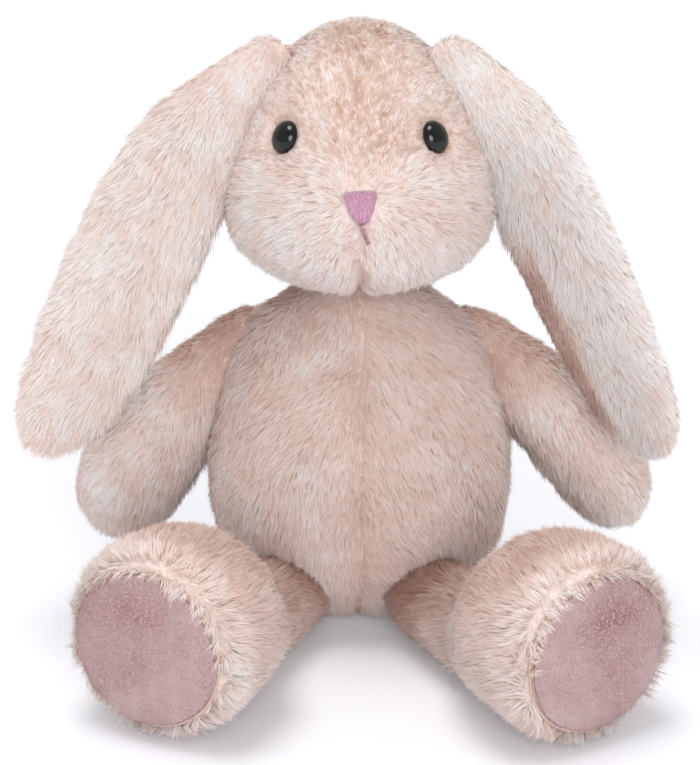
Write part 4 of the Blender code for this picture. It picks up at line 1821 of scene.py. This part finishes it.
    def leg_place(self, side: Side) -> Matrix:
        """The leg's frame, along the floor.

        Args:
            side: which side of the toy.

        Returns:
            The frame.
        """
        splay = self.leg_splay[side]
        direction = Vector((side.sign * math.sin(splay), -math.cos(splay), 0.0))
        pivot = Vector((25.0 * side.sign, -28.0 - self.hip_forward[side], 17.5))
        return limb_frame(pivot, direction, Vector((0.0, 0.0, 1.0)))

    def leg_form(self, side: Side) -> Form:
        """The leg and its foot, flat where the sole is sewn in."""
        sections = [(s, a, b, 0.0, up) for s, a, b, up in self.leg]
        return Form(sections, self.leg_place(side), flat_front=FOOT_FRONT)

    def sole_form(self, side: Side) -> Form:
        """The sole's plate.

        Args:
            side: which side of the toy.

        Returns:
            The form.
        """
        _, wide, tall, up = self.leg[-2]
        edge, crown, inset = FOOT_FRONT + 0.3, 4.6, 4.0
        sections = [
            (edge + crown * rise, wide * share - inset, tall * share - inset, 0.0, up)
            for rise, share in ((0.0, 1.0), (0.45, 0.98), (0.85, 0.8), (1.0, 0.45))
        ]
        return Form(sections, self.leg_place(side))

    def tail_form(self) -> Form:
        """The tail's ball, as ovals.

        Returns:
            The form.
        """
        angles = np.linspace(-0.5, 0.5, 7) * math.pi * 0.92
        sections = [
            (17.6 * math.sin(a), 18.2 * math.cos(a), 18.2 * math.cos(a), 0.0, 0.0) for a in angles
        ]
        return Form(sections, Matrix.Translation(TAIL_MIDDLE))

    def middle_pieces(self, trunk: Form, head: Form) -> list[Piece]:
        """Sets out the pieces that the toy has once.

        Args:
            trunk: the body's form.
            head: the head's form.

        Returns:
            The pieces, in the order of building.
        """
        face = Face(surface_tree(head))
        eyes = [face.hit(EYE_ACROSS * side.sign, NECK_HEIGHT + EYE_RISE)[0] for side in Side]
        nose = face.hit(0.0, NECK_HEIGHT + NOSE_RISE)[0]
        body_nodes = ("body_cover", "body_stuffing")
        head_nodes = ("head_cover", "head_stuffing")
        return [
            Trunk("body", "body", trunk, body_nodes, BODY_COAT, 101),
            Head("head", "head", head, head_nodes, HEAD_COAT, 201, eyes=eyes, nose=nose),
            Tail(
                "tail",
                "body",
                self.tail_form(),
                ("tail",),
                TAIL_COAT,
                301,
                inset=3.0,
                neighbours=[trunk],
                centre=Vector(TAIL_MIDDLE),
            ),
            face,
        ]

    def side_pieces(self, side: Side, trunk: Form, head: Form, seed: int) -> list[Piece]:
        """Sets out the pieces that the toy has on each side.

        Args:
            side: the side.
            trunk: the body's form.
            head: the head's form.
            seed: goes on top of each piece's own seed.

        Returns:
            The pieces, in the order of building.
        """
        ear, arm, leg = (f"{limb}_{side.value}" for limb in ("ear", "arm", "leg"))
        sole = self.sole_form(side)
        arm_nodes = (arm, f"arm_stuffing_{side.value}")
        leg_nodes = (leg, f"leg_stuffing_{side.value}")
        arm_form, leg_form, near = self.arm_form(side), self.leg_form(side), [trunk]
        return [
            Ear(
                ear,
                ear,
                self.ear_form(side),
                (ear,),
                EAR_COAT,
                401 + seed,
                inset=1.8,
                neighbours=[head],
                tip_cut=0.5 if side is Side.RIGHT else 0.0,
                # Painted light: the ears differ in tone only to offset how the lamps fall on them,
                # so the left ear, which takes more light, is painted darker.
                tone=0.44 if side is Side.RIGHT else 0.4,
                lining=self.lining_form(side),
            ),
            Limb(arm, arm, arm_form, arm_nodes, BODY_COAT, 501 + seed, neighbours=near),
            Leg(leg, leg, leg_form, leg_nodes, BODY_COAT, 601 + seed, neighbours=near, sole=sole),
            Sole(side, sole, 701 + seed),
        ]

    def build(self) -> None:
        """Builds every piece and reports it."""
        materials = Materials()
        trunk, head = self.trunk_form(), self.head_form()
        pieces = self.middle_pieces(trunk, head)
        for number, side in enumerate(Side):
            pieces += self.side_pieces(side, trunk, head, 50 * number)
        for piece in pieces:
            piece.build(materials)
            log.info("built %s", getattr(piece, "name", type(piece).__name__))


# ---------------------------------------------------------------------------
# Studio
# ---------------------------------------------------------------------------


@dataclass
class Studio:
    """A pale floor, soft lamps and the photograph's camera."""

    target: Vector = field(default_factory=lambda: Vector((-0.0035, -0.020, 0.095)))
    distance: float = 1.0
    elevation: float = math.radians(20.0)
    focal_pixels: float = 2778.0
    image_width: float = 700.0

    def camera(self) -> None:
        """Sets the camera straight ahead and a little above."""
        data = bpy.data.cameras.new("camera")
        data.sensor_fit = "HORIZONTAL"
        data.sensor_width = 36.0
        data.lens = self.focal_pixels / self.image_width * data.sensor_width
        made = bpy.data.objects.new("camera", data)
        away = Vector((0.0, -math.cos(self.elevation), math.sin(self.elevation)))
        made.location = self.target + away * self.distance
        made.rotation_euler = (math.pi / 2 - self.elevation, 0.0, 0.0)
        bpy.context.scene.collection.objects.link(made)
        bpy.context.scene.camera = made

    def light(self, name: str, way: Sequence[float], angle: float, strength: float) -> None:
        """Adds a broad soft light that comes from one side.

        Args:
            name: the light's name.
            way: where it comes from.
            angle: how broad it is, in degrees.
            strength: its strength in watts a square metre.
        """
        data = bpy.data.lights.new(name, "SUN")
        data.angle, data.energy = math.radians(angle), strength
        made = bpy.data.objects.new(name, data)
        made.location = Vector(way)
        made.rotation_euler = (-Vector(way)).to_track_quat("-Z", "Y").to_euler()
        bpy.context.scene.collection.objects.link(made)

    def floor(self) -> None:
        """A wide white floor that shows its own white to the camera under the toy's shadow."""
        material, shader = blank("matt_white_paper", Roughness=0.9, Specular_IOR_Level=0.0)
        shader.inputs["Base Color"].default_value = linear("#F3F4FA")
        path = add_node(material, "ShaderNodeLightPath")
        seen = add_node(
            material,
            "ShaderNodeMath",
            {"operation": "MAXIMUM"},
            in0=path.outputs["Is Camera Ray"],
            in1=path.outputs["Is Glossy Ray"],
        )
        lift = add_node(
            material, "ShaderNodeMath", {"operation": "MULTIPLY", 1: 0.08}, in0=seen.outputs[0]
        )
        tree = material.node_tree
        shader.inputs["Emission Color"].default_value = (1.0, 1.0, 1.0, 1.0)
        tree.links.new(lift.outputs[0], shader.inputs["Emission Strength"])
        bm = bmesh.new()
        bmesh.ops.create_grid(bm, x_segments=1, y_segments=1, size=6000.0)
        made = finished("floor", bm, material)
        made.location.z = -0.0004

    def world(self) -> None:
        """An even sky, white where the camera sees it."""
        world = bpy.data.worlds.new("sky")
        world.use_nodes = True
        world.node_tree.nodes["Background"].inputs["Color"].default_value = (1.0, 1.0, 1.0, 1.0)
        path = add_node(world, "ShaderNodeLightPath")
        strength = add_node(
            world,
            "ShaderNodeMath",
            {"operation": "MULTIPLY_ADD", 1: 0.46, 2: 0.54},
            in0=path.outputs["Is Camera Ray"],
        )
        background = world.node_tree.nodes["Background"]
        world.node_tree.links.new(strength.outputs[0], background.inputs["Strength"])
        bpy.context.scene.world = world
        bpy.context.scene.view_settings.view_transform = "Standard"

    def build(self) -> None:
        """Sets up the whole studio."""
        self.camera()
        self.light("overhead", (-0.1, -0.04, 1.0), 30.0, 1.3)
        self.light("front", (0.1, -1.0, 0.36), 35.0, 1.55)
        self.floor()
        self.world()


def main() -> None:
    """Builds the studio and the toy."""
    logging.basicConfig(level=logging.INFO, format="%(name)s: %(message)s")
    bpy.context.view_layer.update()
    Studio().build()
    Rabbit().build()


if __name__ == "__main__":
    main()
